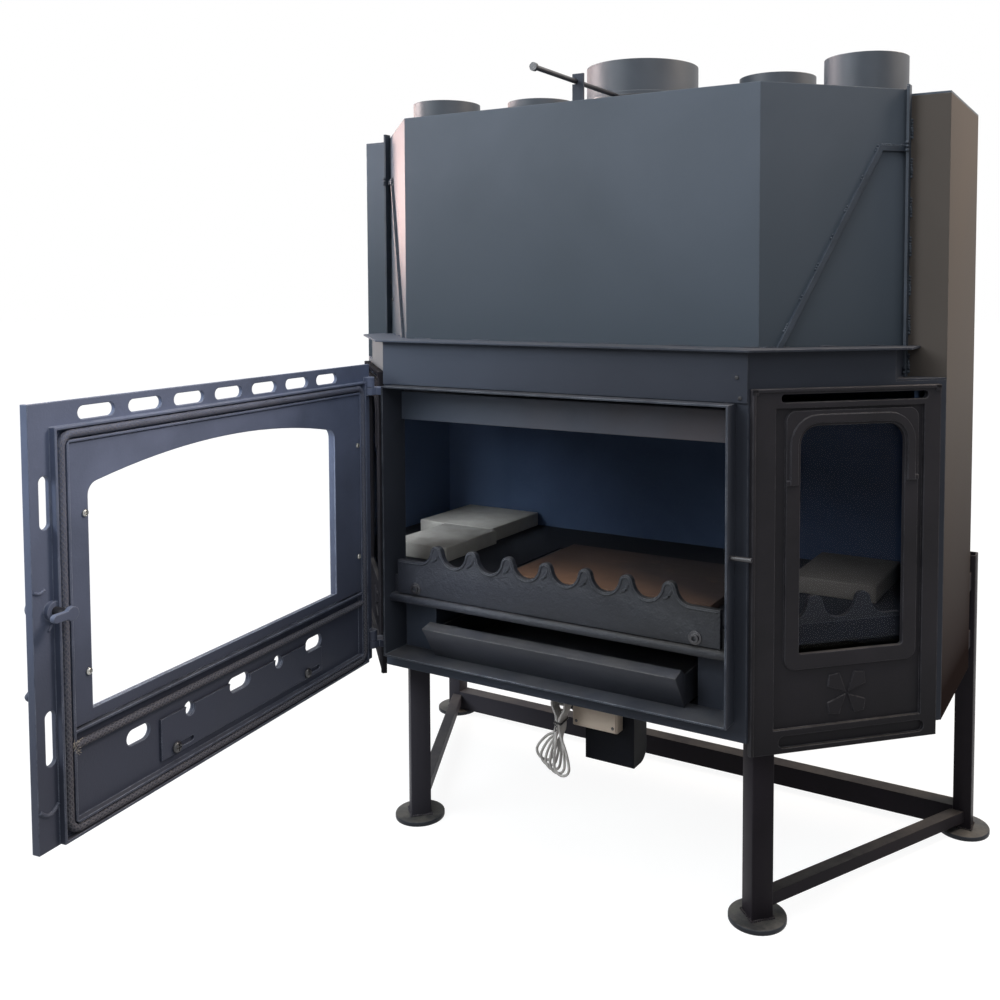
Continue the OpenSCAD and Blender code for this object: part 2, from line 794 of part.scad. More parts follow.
module chamber_floor() {
  f = inner_x(col_y1);
  color(cast) outline([[-f, col_y1], [f, col_y1], [cxi, inner_y(cxi)], [cxi, cyi],
    [-cxi, cyi], [-cxi, inner_y(cxi)]], zf, zfl);
}
module chamber_side() {
  color(cast) outline([[cxi, inner_y(cxi)], [cx, inner_y(cx)], [cx, cy1], [cxi, cy1]], zf, zr);
}
module chamber_walls() {
  chamber_side();
  baffle_rest();
  flip() { chamber_side(); baffle_rest(); }
  color(cast) box([-cxi, cyi, zf], [cxi, cy1, zr]);
}
module chamber_top() {
  f = pi_[1];
  color(cast) difference() {
    outline([[-f[0], f[1]], f, [cx, inner_y(cx)], [cx, cy1], [-cx, cy1],
      [-cx, inner_y(cx)]], zr, zr + plate_t);
    translate([0, 0, zr - 1]) cylinder(r = flue_r - flue_t, h = plate_t + 2);
  }
}
baffle_z = zr - baffle_drop;
module baffle_plate() {
  color(cast) box([-cxi + 3, cyi - baffle_d, baffle_z - baffle_t], [cxi - 3, cyi, baffle_z]);
}
module baffle_rest() {
  color(cast) box([cxi - 20, cyi - baffle_d*0.7, baffle_z - baffle_t - 20],
    [cxi, cyi, baffle_z - baffle_t]);
}

grate_y = fy + grate_back;
module hearth_floor() {
  t = side_fence_in;
  f = behind_x(t, col_y1);
  g0 = fy - fence_back + apron_t;
  w = grate_w/2; d = grate_d/2;
  color([0.36, 0.33, 0.3]) difference() {
    outline([[-col_in, g0], [col_in, g0], [col_in, col_y1], [f, col_y1],
      [cxi, behind_y(t, cxi)], [cxi, cyi], [-cxi, cyi], [-cxi, behind_y(t, cxi)],
      [-f, col_y1], [-col_in, col_y1]], zhb, zhe);
    box([-w, grate_y - d, zhe - grate_t - 2], [w, grate_y + d, zhe + 1]);
    box([-w + grate_step, grate_y - d + grate_step, zhb - 1],
      [w - grate_step, grate_y + d - grate_step, zhe]);
  }
}
module grate() {
  w = grate_w/2 - loose; d = grate_d/2 - loose;
  z = zhe - grate_t - 2;
  n = 11;
  p = 2*(w - 14)/n;
  color(cast) difference() {
    box([-w, grate_y - d, z], [w, grate_y + d, z + grate_t]);
    for (i = [0 : n - 1])
      translate([-w + 14 + p*(i + 0.5), grate_y, z - 1])
        translate([-p*0.24, -d + 20, 0]) cube([p*0.48, 2*d - 40, grate_t + 2]);
  }
}
fence_back = 2;
fence_y1 = fy - fence_back;
fence_z = zhe - apron_h + ledge_h + fence_gap;
module apron_plate() {
  color(cast) box([-col_in, fence_y1, zhe - apron_h], [col_in, fence_y1 + apron_t, zhe]);
}
module ledge_bar() {
  z = zhe - apron_h; r = ledge_h/2;
  color(cast) {
    box([-col_in, fence_y1 - ledge_d + r, z], [col_in, fence_y1, z + ledge_h]);
    rod_x(fence_y1 - ledge_d + r, z + r, r, -col_in, col_in);
  }
}
module hearth_apron() { apron_plate(); ledge_bar(); }
// a wave-topped cast fence, its teeth about the middle
module wave(w, zb, h, up, pitch, n, tip, ya, yb) {
  vr = pitch/2 - tip;
  zv = zb + h;
  zt2 = zv + up - tip;
  span = (n - 1)/2*pitch;
  difference() {
    box([-w/2, ya, zb], [w/2, yb, zt2]);
    for (i = [0 : n]) rod_y(-span - pitch/2 + i*pitch, zv + vr, vr, ya - 1, yb + 1);
    for (s = [-1, 1])
      box([min(s*(span + pitch/2), s*w), ya - 1, zv], [max(s*(span + pitch/2), s*w), yb + 1, zt2 + 50]);
  }
  for (i = [0 : n - 1]) rod_y(-span + i*pitch, zt2, tip, ya, yb);
}
module log_fence() {
  fence_bolts();
  color(cast) wave(fence_w, fence_z, fence_h, tooth_h, tooth_pitch, tooth_n, tooth_r,
    fence_y1 - fence_t, fence_y1);
}
module fence_bolts() {
  color(steel) for (s = [-1, 1]) {
    rod_y(s*bolt_w/2, fence_z + 11, bolt_r, fence_y1 - fence_t - 4, fence_y1 - fence_t);
    rod_y(s*bolt_w/2, fence_z + 11, bolt_r*1.5, fence_y1 - fence_t - 1.2, fence_y1 - fence_t);
  }
}
module side_fence() {
  color(cast) on_side() translate([pane_s + pane_w/2 - 9, 0, 0])
    wave(200, zhe, 6, 35, side_pitch, 2, 12, side_fence_in, side_fence_in + side_fence_t);
}
module side_fences() { side_fence(); flip() side_fence(); }

slab_y = fy + 100;
module clay_slabs() {
  color([0.62, 0.6, 0.55]) {
    translate([-cxi + 117, slab_y, zhe]) cube([slab_w1, slab_d1, slab_t]);
    translate([-cxi + 56, slab_y + slab_d1 + 2, zhe]) cube([slab_w2, slab_d2, slab_t]);
    translate([cxi - slab_side3 - slab_w3, fy + slab_back3, zhe]) cube([slab_w3, slab_d3, slab_t]);
  }
}
board_x = -board_w/2 + 65;
module hearth_board() {
  color([0.45, 0.34, 0.24]) translate([board_x, fy + 60, zhe]) cube([board_w, board_d, board_t]);
}

module ash_bay() {
  color(casing) {
    box([bay_x, col_y1, zfl], [bay_x + bay_t, cyi, zhb]);
    box([bay_x, col_y1, zfl], [inner_x(col_y1) - 20, col_y1 + bay_t, zhb]);
  }
}
module ash_bay_sides() { ash_bay(); flip() ash_bay(); drawer_runners(); }
drawer_z = zc0 + collar_t + drawer_gap;
tray_y = fy + 10;
runner_x = drawer_w/2 - 23;
module drawer_runners() {
  for (s = [-1, 1]) color(steel)
    box([s*runner_x - runner_w/2, col_y1, zfl], [s*runner_x + runner_w/2, tray_y + drawer_d, drawer_z - drawer_gap]);
}
module ash_drawer_tray() {
  w = drawer_w/2 - 2;
  color(casing) difference() {
    box([-w, tray_y, drawer_z], [w, tray_y + drawer_d, drawer_z + drawer_h]);
    box([-w + drawer_t, tray_y + drawer_t, drawer_z + drawer_t],
      [w - drawer_t, tray_y + drawer_d - drawer_t, drawer_z + drawer_h + 1]);
  }
}
module ash_drawer_front() {
  a = [fy - lip_out, drawer_z + lip_h];
  b = [fy - lip_out + lip_slope, drawer_z];
  c = a + [23, 6];
  w = drawer_w/2;
  color(casing) {
    across(bend3(b, a, c, -front_t), -w, w);
    box([-w, tray_y - front_t, drawer_z], [w, tray_y, drawer_z + drawer_h]);
    for (x = [-w, w - front_t])
      across([b, [tray_y, drawer_z], [tray_y, drawer_z + drawer_h], c, a], x, x + front_t);
  }
}

arch_z = pane_z + pane_h - arch_h;
module window_frame() {
  s0 = wframe_s; s1 = wframe_s + wframe_w;
  q0 = z0 - wframe_drop; q1 = q0 + wframe_h;
  cs = wslot_s - 8;
  color(cast) on_side() {
    difference() {
      box([s0, -wframe_t, q0], [s1, 0, q1]);
      box([s0 + 36, -wframe_t - 1, q0 + 34], [s1 - 27, -wback_t, q1 - 28]);
      window_hole(0, -wframe_t - 1, 1);
      slot_y(wslot_s, wslot_z, wslot_w, wslot_h, -wframe_t - 1, 1);
      slot_y(wslot_s, q0 + 16, wslot_w, wslot_h*1.5, -wframe_t - 1, -wback_t);
    }
    difference() {
      window_shape(ring_w, ring_r, ring_r, -wframe_t + 1, -wback_t);
      window_hole(0, -wframe_t - 1, 1);
    }
    // the arched moulding with its stepped ends
    intersection() {
      difference() {
        union() {
          window_hole(4 + arch_w, -wframe_t - 1.5, -wback_t);
          box([pane_s - ring_w, -wframe_t - 0.5, arch_z], [pane_s + pane_w + ring_w, -wback_t, arch_z + 7]);
        }
        window_hole(4, -wframe_t - 3, 1);
      }
      box([s0, -wframe_t - 2, arch_z], [s1, 0, q1]);
    }
    for (k = [0 : 3])
      translate([cs, 0, q0 + 77]) rotate([0, 45 + 90*k, 0])
        deep([[2, 0], [30, -13], [40, 0], [30, 13]], -wframe_t + 3, -wback_t);
  }
}
module window_frame_right() { window_frame(); }
module window_frame_left() { flip() window_frame(); }
module window_glass() {
  color([0.4, 0.45, 0.5, 0.4]) on_side()
    window_hole(8 + pane_lap, case_t, case_t + pane_t);
}
module window_panes() { window_glass(); flip() window_glass(); }
clip_in = 7;
clip_out = 4;
module window_clips() {
  m = 8 + pane_lap;
  color(steel) on_side()
    for (s = [pane_s - m - clip_out, pane_s + pane_w + m - clip_in], z = [pane_z + 60, pane_z + pane_h - 88])
      difference() {
        box([s, case_t, z], [s + clip_in + clip_out, case_t + pane_t + 1.5, z + 14]);
        box([pane_s - m, case_t - 1, z - 1], [pane_s + pane_w + m, case_t + pane_t, z + 15]);
      }
}

hinge_x = -col_x - door_lap + hinge_in;
hinge_y = fy - hinge_out;
lug_z = [z0 + lug_low, z0 + lug_low + lug_pitch];
module hinge_bracket(z) {
  x0 = hinge_x - hinge_in; x1 = hinge_x + hinge_in;
  color(cast) {
    translate([hinge_x, hinge_y, z]) cylinder(r = eye_r, h = lug_h);
    outline([[x0, hinge_y], [x1, hinge_y], [x1, hinge_y + eye_r], [-col_x, hinge_y + eye_r],
      [-col_x, fy], [-face_w/2, fy], [x0, fy - eye_r - 3]], z, z + lug_h);
    translate([hinge_x, hinge_y, z]) cylinder(r = pin_r, h = lug_h + eye_gap + eye_h);
  }
}
module hinge_brackets() { for (z = lug_z) hinge_bracket(z); }
spin_z = z0 + door_up + spindle_up;
module latch_keeper() {
  color(steel) rod_x(fy - keeper_out, spin_z - keeper_drop, keeper_r, col_x, col_x + keeper_l);
}

// the door frame: x from the hinge-side edge, y = 0 at the hinge axis
module at_door() {
  translate([hinge_x, hinge_y, 0]) rotate([0, 0, -door_rest])
    translate([-hinge_in, 0, 0]) children();
}
zd0 = z0 + door_up;
zd1 = zd0 + door_h;
pb = -plate_front;
pf = pb - door_t;
// the rope's middle line follows the collar's front edge
rx0 = door_lap + collar_t/2;
rx1 = rx0 + collar_w - collar_t;
rz0 = zc0 + collar_t/2;
rz1 = zc1 - collar_t/2;
rope_r = rope_d/2;
light_z = zd0 + light_up;
arch_r = (light_w*light_w/4 + light_rise*light_rise)/(2*light_rise);
module light(m, ya, yb) {
  x0 = light_x - m; x1 = light_x + light_w + m;
  xm = light_x + light_w/2; ra = arch_r + m; r = light_r + m;
  za = light_z + light_h + light_rise - arch_r;
  cx = light_w/2 + m - r;
  cz = za + sqrt((ra - r)*(ra - r) - cx*cx);
  tx = cx*ra/(ra - r);
  difference() {
    intersection() {
      box([x0, ya, light_z - m], [x1, yb, light_z + light_h + light_rise + m]);
      rod_arch(xm, za, ra, ya, yb);
    }
    for (s = [-1, 1]) difference() {
      box([min(xm + s*tx, xm + s*(light_w/2 + m + 1)), ya - 1, cz],
        [max(xm + s*tx, xm + s*(light_w/2 + m + 1)), yb + 1, cz + r + 40]);
      rod_y(xm + s*cx, cz, r, ya - 2, yb + 2);
    }
  }
}
module rod_arch(x, z, r, ya, yb) {
  translate([x, yb, z]) rotate([90, 0, 0]) cylinder(r = r, h = yb - ya, $fn = 180);
}
module ring(x0, z0_, x1, z1_, t, ya, yb) {
  difference() {
    box([x0 - t, ya, z0_ - t], [x1 + t, yb, z1_ + t]);
    box([x0, ya - 1, z0_], [x1, yb + 1, z1_]);
  }
}
slide_z = zd0 + 30;
slide_bolts = [slide_x + 39, slide_x + slide_w - 25];
vent_z = zd0 + 79;
vents = [[slide_x + 17, 42], [slide_x + slide_w - 152, 44], [slide_x + slide_w + 35, 39]];
eyes = [slide_x + 107, slide_x + slide_w - 53];
module door_frame() {
  rc = rope_r + rib_gap;
  color(cast) at_door() difference() {
    union() {
      box([0, pf, zd0], [door_w, pb, zd1]);
      // ribs on both sides of the rope, and the cross rib above the air slide
      ring(rx0 - rc, rz0 - rc, rx1 + rc, rz1 + rc, rib_t, pb - eps, pb + rib_h);
      ring(rx0 + rc + rib_t, rz0 + rc + rib_t, rx1 - rc - rib_t, rz1 - rc - rib_t,
        rib_t, pb - eps, pb + rib_h);
      box([rx0 + rc, pb - eps, light_z - 20], [rx1 - rc, pb + rib_h, light_z - 17]);
      // thick free edge and a raised moulding round the glass on the outside
      box([door_w - edge_t, pf - edge_t, zd0], [door_w, pb, zd1]);
      difference() {
        light(26, pf - 4, pf + eps);
        light(4, pf - 6, pf + 1);
      }
      for (z = lug_z) {
        translate([hinge_in, 0, z + lug_h + eye_gap]) cylinder(r = eye_r, h = eye_h);
        box([0, pf, z + lug_h + eye_gap], [2*hinge_in, 0, z + lug_h + eye_gap + eye_h]);
      }
      rod_y(spindle_x, spin_z, boss_r, pf - boss_h, pb);
      intersection() {
        rod_y(spindle_x, spin_z, boss_r, pb - eps, pb + 6);
        box([rx1 + rc, pb - 1, zd0], [door_w, pb + 7, zd1]);
      }
    }
    light(4, pf - 8, pb + 1);
    for (z = lug_z) {
      box([-1, pf - 1, z - 2], [2*hinge_in + 1, pb + rib_h + 1, z + lug_h + eye_gap]);
      translate([hinge_in, 0, z]) cylinder(r = pin_r + pin_fit, h = lug_h + eye_h + 3);
    }
    for (i = [0 : slot_n - 1])
      slot_y(door_w - slot_end - i*slot_pitch, zd1 - 16, slot_w, slot_h, pf - 1, pb + 1);
    for (v = [[edge_slot_z1, 63], [edge_slot_z2, 60]])
      slot_up(door_w - edge_slot_in, zd0 + v[0], edge_slot_w, v[1], pf - 1, pb + 1);
    for (v = vents) slot_y(v[0], vent_z, v[1], vent_h, pf - 1, pb + 1);
    for (x = eyes) rod_y(x, vent_z, 9, pf - 1, pb + 1);
    for (x = slide_bolts) rod_y(x, slide_z + 9, 3, pf + 2, pb + 1);
    rod_y(spindle_x, spin_z, spindle_r + spindle_fit, pf - boss_h - 1, pb + rib_h + 1);
    // the rope's rounded corners, cut into the inner ribs
    for (c = [[rx0, rz0, 1, 1], [rx1, rz0, -1, 1], [rx1, rz1, -1, -1], [rx0, rz1, 1, -1]])
      intersection() {
        difference() {
          rod_y(c[0] + c[2]*rope_bend, c[1] + c[3]*rope_bend, rope_bend + rope_r, pb, pb + rib_h + 1);
          rod_y(c[0] + c[2]*rope_bend, c[1] + c[3]*rope_bend, rope_bend - rope_r - 0.8, pb - 1, pb + rib_h + 2);
        }
        box([min(c[0] - c[2]*rope_r, c[0] + c[2]*rope_bend), pb, min(c[1] - c[3]*rope_r, c[1] + c[3]*rope_bend)],
          [max(c[0] - c[2]*rope_r, c[0] + c[2]*rope_bend), pb + rib_h + 1, max(c[1] - c[3]*rope_r, c[1] + c[3]*rope_bend)]);
      }
  }
}
module door_glass() {
  color([0.5, 0.55, 0.6, 0.3]) at_door() light(glass_lap, pb, pb + glass_t);
}
keep_x0 = rx0 + rope_r + rib_gap + rib_t + 1;
keep_x1 = rx1 - rope_r - rib_gap - rib_t - 1;
module glass_retainer() {
  color(cast) at_door() difference() {
    box([keep_x0, pb + glass_t, light_z - 14],
      [keep_x1, pb + glass_t + keep_t, rz1 - rope_r - rib_gap - rib_t - 1]);
    light(0, pb, pb + 10);
  }
}
module retainer_screws() {
  y = pb + glass_t + keep_t;
  color(steel) at_door() for (x = [keep_x0 + 5, light_x + light_w + 5], z = [45, light_h - 32])
    rod_y(x, light_z + z, 4, y, y + 2);
}
module rope_bar_x(z, xa, xb) { rod_x(rope_y, z, rope_r, xa, xb); }
rope_y = pb + rope_gap + rope_r;
cross_z = light_z - 20 - rope_r - 10;
module door_rope() {
  b = rope_bend;
  color([0.3, 0.3, 0.3]) at_door() {
    for (z = [rz0, rz1]) rod_x(rope_y, z, rope_r, rx0 + b, rx1 - b);
    for (x = [rx0, rx1]) translate([x, rope_y, rz0 + b]) cylinder(r = rope_r, h = rz1 - rz0 - 2*b);
    for (c = [[rx0 + b, rz0 + b, 180], [rx1 - b, rz0 + b, 270], [rx1 - b, rz1 - b, 0], [rx0 + b, rz1 - b, 90]])
      translate([c[0], rope_y, c[1]]) rotate([90, 0, 0]) rotate([0, 0, c[2]])
        rotate_extrude(angle = 90) translate([b, 0]) circle(r = rope_r);
  }
}
module cross_rope() {
  color([0.3, 0.3, 0.3]) at_door()
    rod_x(rope_y, cross_z, rope_r, keep_x0 - 1, keep_x1 + 1);
}
module door_ropes() { door_rope(); cross_rope(); }
module door_screws() { retainer_screws(); slide_bolt_pair(); }
module air_slide() {
  ya = pb + slide_gap;
  color(cast) at_door() difference() {
    box([slide_x, ya, slide_z], [slide_x + slide_w, ya + slide_t, slide_z + slide_h]);
    slot_y(vents[0][0] + 2, vent_z, vents[0][1] + 4, vent_h, ya - 1, ya + slide_t + 1);
    slot_y(vents[1][0], vent_z, vents[1][1], vent_h, ya - 1, ya + slide_t + 1);
    box([slide_x - 1, ya - 1, vent_z - vent_h/2], [slide_x + 12, ya + slide_t + 1, slide_z + slide_h + 1]);
    for (x = eyes) rod_y(x, vent_z, 9, ya - 1, ya + slide_t + 1);
    for (x = slide_bolts)
      slot_y(x - slide_go/2, slide_z + 9, slide_go + 6.6, 6.6, ya - 1, ya + slide_t + 1);
  }
}
module slide_bolt_pair() {
  ya = pb + slide_gap;
  color(steel) at_door() for (x = slide_bolts) {
    rod_y(x, slide_z + 9, 3, pf + 2, ya + slide_t + slide_gap);
    rod_y(x, slide_z + 9, 6, ya + slide_t + slide_gap, ya + slide_t + slide_gap + 3);
  }
}
finger_y1 = hinge_out - keeper_out + keeper_r + finger_gap + finger_t;
module latch_spindle() {
  handle_washer();
  color(steel) at_door() rod_y(spindle_x, spin_z, spindle_r, pf - boss_h - lever_gap, finger_y1 - finger_t);
}
module latch_finger() {
  color(cast) at_door() {
    rod_y(spindle_x, spin_z, 8, finger_y1 - finger_t, finger_y1);
    box([spindle_x, finger_y1 - finger_t, spin_z - finger_w/2],
      [spindle_x + finger_l - finger_w/2, finger_y1, spin_z + finger_w/2]);
    rod_y(spindle_x + finger_l - finger_w/2, spin_z, finger_w/2, finger_y1 - finger_t, finger_y1);
  }
}
module door_handle() {
  y1 = pf - boss_h - lever_gap; y0 = y1 - 2*lever_r + 2;
  knee = spin_z - lever_l + lever_r + lever_tip;
  color(cast) at_door() {
    rod_y(spindle_x, spin_z, boss_r, y0, y1);
    translate([spindle_x, y1 - lever_r, knee]) cylinder(r = lever_r, h = spin_z - knee);
    translate([spindle_x, y1 - lever_r, knee]) {
      sphere(r = lever_r + 0.5);
      rotate([135, 0, 0]) cylinder(r1 = lever_r - 0.5, r2 = lever_r*0.8, h = lever_tip*sqrt(2));
    }
  }
}
module handle_washer() {
  color(steel) at_door() difference() {
    rod_y(spindle_x, spin_z, boss_r - 2, pf - boss_h - lever_gap, pf - boss_h - 0.3);
    rod_y(spindle_x, spin_z, spindle_r, pf - boss_h - lever_gap - 1, pf - boss_h);
  }
}

leg_cy = fy + leg_y;
module square_tube(a, t, h) {
  difference() {
    translate([-a/2, -a/2, 0]) cube([a, a, h]);
    translate([-a/2 + t, -a/2 + t, -1]) cube([a - 2*t, a - 2*t, h + 2]);
  }
}
module front_leg() {
  color(casing) translate([leg_x, leg_cy, foot_t]) rotate([0, 0, 45])
    square_tube(leg_a, tube_t, z0 - foot_t);
}
module front_legs() { front_leg(); flip() front_leg(); }
rear_cy = by + rear_gap + rear_a/2;
module rear_leg() {
  color(casing) {
    translate([rear_x, rear_cy, foot_t]) square_tube(rear_a, tube_t, z0 + rear_up - foot_t);
    for (z = [z0 + 30, z0 + rear_up - 60])
      box([rear_x - rear_a/2, by, z], [min(rear_x + rear_a/2, body_w/2), by + rear_gap, z + 30]);
  }
}
module rear_legs() { rear_leg(); flip() rear_leg(); }
module foot(x, y) { color(casing) translate([x, y, 0]) cylinder(r = foot_r, h = foot_t); }
module foot_plates() {
  for (s = [-1, 1]) { foot(s*leg_x, leg_cy); foot(s*rear_x, rear_cy); }
}
module side_brace() {
  v = [rear_x - leg_x, rear_cy - leg_cy];
  l = norm(v);
  color(casing) difference() {
    translate([leg_x, leg_cy, brace_z]) rotate([0, 0, atan2(v[1], v[0])]) difference() {
      translate([0, -brace_a/2, 0]) cube([l, brace_a, brace_a]);
      translate([-1, -brace_a/2 + tube_t, tube_t])
        cube([l + 2, brace_a - 2*tube_t, brace_a - 2*tube_t]);
    }
    translate([leg_x, leg_cy, 0]) rotate([0, 0, 45])
      translate([-leg_a/2, -leg_a/2, -1]) cube([leg_a, leg_a, z0]);
    translate([leg_x, leg_cy, 0]) rotate([0, 0, 45])
      translate([-leg_a*1.5, -leg_a/2, -1]) cube([leg_a*1.5, leg_a, z0]);
    translate([rear_x - rear_a/2, rear_cy - rear_a/2, -1]) cube([rear_a*2, rear_a*2, z0]);
    translate([rear_x, rear_cy - rear_a/2, -1]) cube([rear_a, rear_a, z0]);
  }
}
module braces() { side_brace(); flip() side_brace(); rear_bar(); }
module rear_bar() {
  x = rear_x - rear_a/2;
  color(casing) difference() {
    box([-x, rear_cy - rear_a/2, foot_t], [x, rear_cy + rear_a/2, foot_t + bar_h]);
    box([-x - 1, rear_cy - rear_a/2 + tube_t, foot_t + tube_t],
      [x + 1, rear_cy + rear_a/2 - tube_t, foot_t + bar_h - tube_t]);
  }
}

bl_y = fy + blower_y;
bl_z = z0 - blower_h;
wheel_x = blower_x + blower_w/2;
wheel_z = z0 - 66;
wheel_y = bl_y + blower_d - blower_t - 2 - wheel_w;
module blower_housing() {
  r = 22;
  color([0.08, 0.08, 0.09]) difference() {
    translate([blower_x, 0, 0]) union() {
      box([0, bl_y, bl_z], [blower_w, bl_y + blower_d - r, z0]);
      box([0, bl_y, bl_z + r], [blower_w, bl_y + blower_d, z0]);
      rod_x(bl_y + blower_d - r, bl_z + r, r, 0, blower_w);
    }
    rod_y(wheel_x, wheel_z, wheel_r + 4, bl_y + blower_t, bl_y + blower_d - blower_t);
    box([blower_x + blower_t, bl_y + blower_t, wheel_z],
      [blower_x + blower_w - blower_t, bl_y + blower_d - blower_t, z0 + 1]);
    rod_y(wheel_x, wheel_z, wheel_r*0.66, bl_y + blower_d - blower_t - 1, bl_y + blower_d + 1);
  }
}
module blower_motor() {
  color(steel) {
    rod_y(wheel_x, wheel_z, wheel_r*0.6, bl_y + blower_t, wheel_y - 3);
    rod_y(wheel_x, wheel_z, shaft_r, wheel_y - 3, wheel_y + wheel_w*0.7);
  }
}
module blower_wheel() {
  color([0.12, 0.12, 0.13]) difference() {
    union() {
      rod_y(wheel_x, wheel_z, wheel_r, wheel_y, wheel_y + 2);
      rod_y(wheel_x, wheel_z, shaft_r + 4, wheel_y, wheel_y + wheel_w*0.7);
      for (i = [0 : blade_n - 1])
        translate([wheel_x, 0, wheel_z]) rotate([0, i*360/blade_n, 0]) translate([wheel_r - 10, 0, 0])
          rotate([0, 25, 0]) box([0, wheel_y + 1, -0.75], [9, wheel_y + wheel_w - 1, 0.75]);
      difference() {
        rod_y(wheel_x, wheel_z, wheel_r, wheel_y + wheel_w - 3, wheel_y + wheel_w);
        rod_y(wheel_x, wheel_z, wheel_r - 4, wheel_y + wheel_w - 4, wheel_y + wheel_w + 1);
      }
    }
    rod_y(wheel_x, wheel_z, shaft_r + pin_fit, wheel_y - 1, wheel_y + wheel_w);
  }
}
cb_x = blower_x - 14;
cb_z1 = z0 - box_drop;
module control_box() {
  r = 4;
  color([0.75, 0.68, 0.6]) translate([cb_x, 0, 0]) {
    box([r, bl_y - box_d, cb_z1 - box_h], [box_w - r, bl_y, cb_z1]);
    box([0, bl_y - box_d + r, cb_z1 - box_h], [box_w, bl_y, cb_z1]);
    for (x = [r, box_w - r]) translate([x, bl_y - box_d + r, cb_z1 - box_h]) cylinder(r = r, h = box_h);
  }
}

// the lead: a hank of loops gathered at a waist, held by a tie
lead_r = lead_d/2;
hank_x = -2;
hank_y = 30;
waist_z = z0 - 48;
waist_x = 2.75;
lobe_r = 13.5;
lobe_up = 30;
lobe_dn = 72;
layer = 5;
fan_a = 6;
fan_b = -9;
fan_h = 45;
turn_n = 24;
function ease(u) = (1 - cos(180*min(max(u, 0), 1)))/2;
function half_w(h) = h > 0 ? waist_x + (lobe_r - waist_x)*ease(h/lobe_dn)
  : waist_x + (lobe_r - waist_x)*ease(-h/lobe_up);
// one point of loop k: s is sideways, h is down from the waist
function place(k, s, h, y) =
  let(a = (fan_a + fan_b*k)*ease(h/fan_h))
  [hank_x + s + max(h, 0)*sin(a), fy + hank_y + layer*k + y,
    waist_z - (h > 0 ? h*cos(a) - s*sin(a)*ease(h/lobe_dn) : h)];
// u runs from 0 to 1 round a loop: down the right, round, up the left, over
function loop_pt(k, u) =
  let(run = lobe_up + lobe_dn)
  u < 0.36 ? let(h = -lobe_up + run*u/0.36) place(k, half_w(h), h, 0)
  : u < 0.54 ? let(q = (u - 0.36)/0.18*180)
    place(k, lobe_r*cos(q), lobe_dn + lobe_r*sin(q), 0)
  : u < 0.9 ? let(f = (u - 0.54)/0.36, h = lobe_dn - run*f)
    place(k, -half_w(h), h, layer*ease(f))
  : let(q = (u - 0.9)/0.1*180)
    place(k, -lobe_r*cos(q), -lobe_up - lobe_r*sin(q), layer);
end_u = 0.7;
gland_h = 8;
function hank_pts(m) = concat(
  [[hank_x + lobe_r, fy + hank_y, z0 - gland_h], [hank_x + lobe_r, fy + hank_y, z0 - gland_h - lead_d]],
  [for (k = [0 : loop_n - 1], i = [0 : m - 1])
    let(u = i/m) if (k < loop_n - 1 || u <= end_u) loop_pt(k, u)],
  [hank_end, hank_end + [0, 0, lead_d]]);
hank_end = loop_pt(loop_n - 1, end_u) + [-0.5, 0.3, 9];
hank_tip = hank_end + [0, 0, lead_d];
function tangent(p, i) = let(n = len(p))
  i == 0 ? unit(p[1] - p[0]) : i == n - 1 ? unit(p[n - 1] - p[n - 2]) : unit(p[i + 1] - p[i - 1]);
module tube(p, r, n, ref) {
  m = len(p);
  pts = [for (i = [0 : m - 1])
    let(t = tangent(p, i), a = unit(cross(t, ref)), b = cross(a, t))
    for (j = [0 : n - 1]) p[i] + r*(cos(360*j/n)*a + sin(360*j/n)*b)];
  faces = concat(
    [for (i = [0 : m - 2], j = [0 : n - 1]) let(k = (j + 1) % n)
      each [[i*n + j, i*n + k, (i + 1)*n + k], [i*n + j, (i + 1)*n + k, (i + 1)*n + j]]],
    [for (j = [1 : n - 2]) [0, j + 1, j]],
    [for (j = [1 : n - 2]) let(q = (m - 1)*n) [q, q + j, q + j + 1]]);
  polyhedron(points = pts, faces = faces, convexity = 10);
}
fine = [for (k = [0 : loop_n - 1], i = [0 : 71]) loop_pt(k, i/72)];
least = min([for (a = [0 : 2 : len(fine) - 1], b = [a + 14 : 1 : len(fine) - 1])
  if (b < len(fine)) norm(fine[a] - fine[b])]) - lead_d;
echo(hank_least_gap = least);
module lead_hank() {
  color([0.55, 0.52, 0.5]) tube(hank_pts(turn_n), lead_r, 6, [0, 1, 0]);
}
relief_l = 20;
relief_z = cb_z1 - 20;
relief_y = bl_y - 9;
// the free stretch from the hank up and over into the strain relief
lead_a = hank_tip;
lead_b = [cb_x - relief_l, relief_y, relief_z];
function bez(a, b, c, d, t) = pow(1 - t, 3)*a + 3*t*pow(1 - t, 2)*b + 3*t*t*(1 - t)*c + t*t*t*d;
module blower_lead() {
  n = 9;
  b1 = lead_b - [lead_d, 0, 0];
  color([0.55, 0.52, 0.5]) tube(concat([lead_a, lead_a + [0, 0, 2]],
    [for (i = [1 : n - 1]) bez(lead_a + [0, 0, 2], lead_a + [0, 0, 26], b1 - [24, 0, 0], b1, i/n)],
    [b1, lead_b]), lead_r, 8, unit([1, 6, 0]));
}
module strain_relief() {
  color([0.1, 0.1, 0.1]) translate([cb_x, relief_y, relief_z]) rotate([0, -90, 0]) {
    cylinder(r1 = 4.6, r2 = lead_r + 0.4, h = relief_l);
    cylinder(r = 6, h = 3);
  }
}
module lead_gland() {
  color([0.1, 0.1, 0.1]) translate([hank_x + lobe_r, fy + hank_y, z0 - gland_h]) {
    cylinder(r = 5, h = gland_h);
    translate([0, 0, 3]) cylinder(r = 8, h = gland_h - 3, $fn = 6);
  }
}
module lead_glands() { strain_relief(); lead_gland(); }
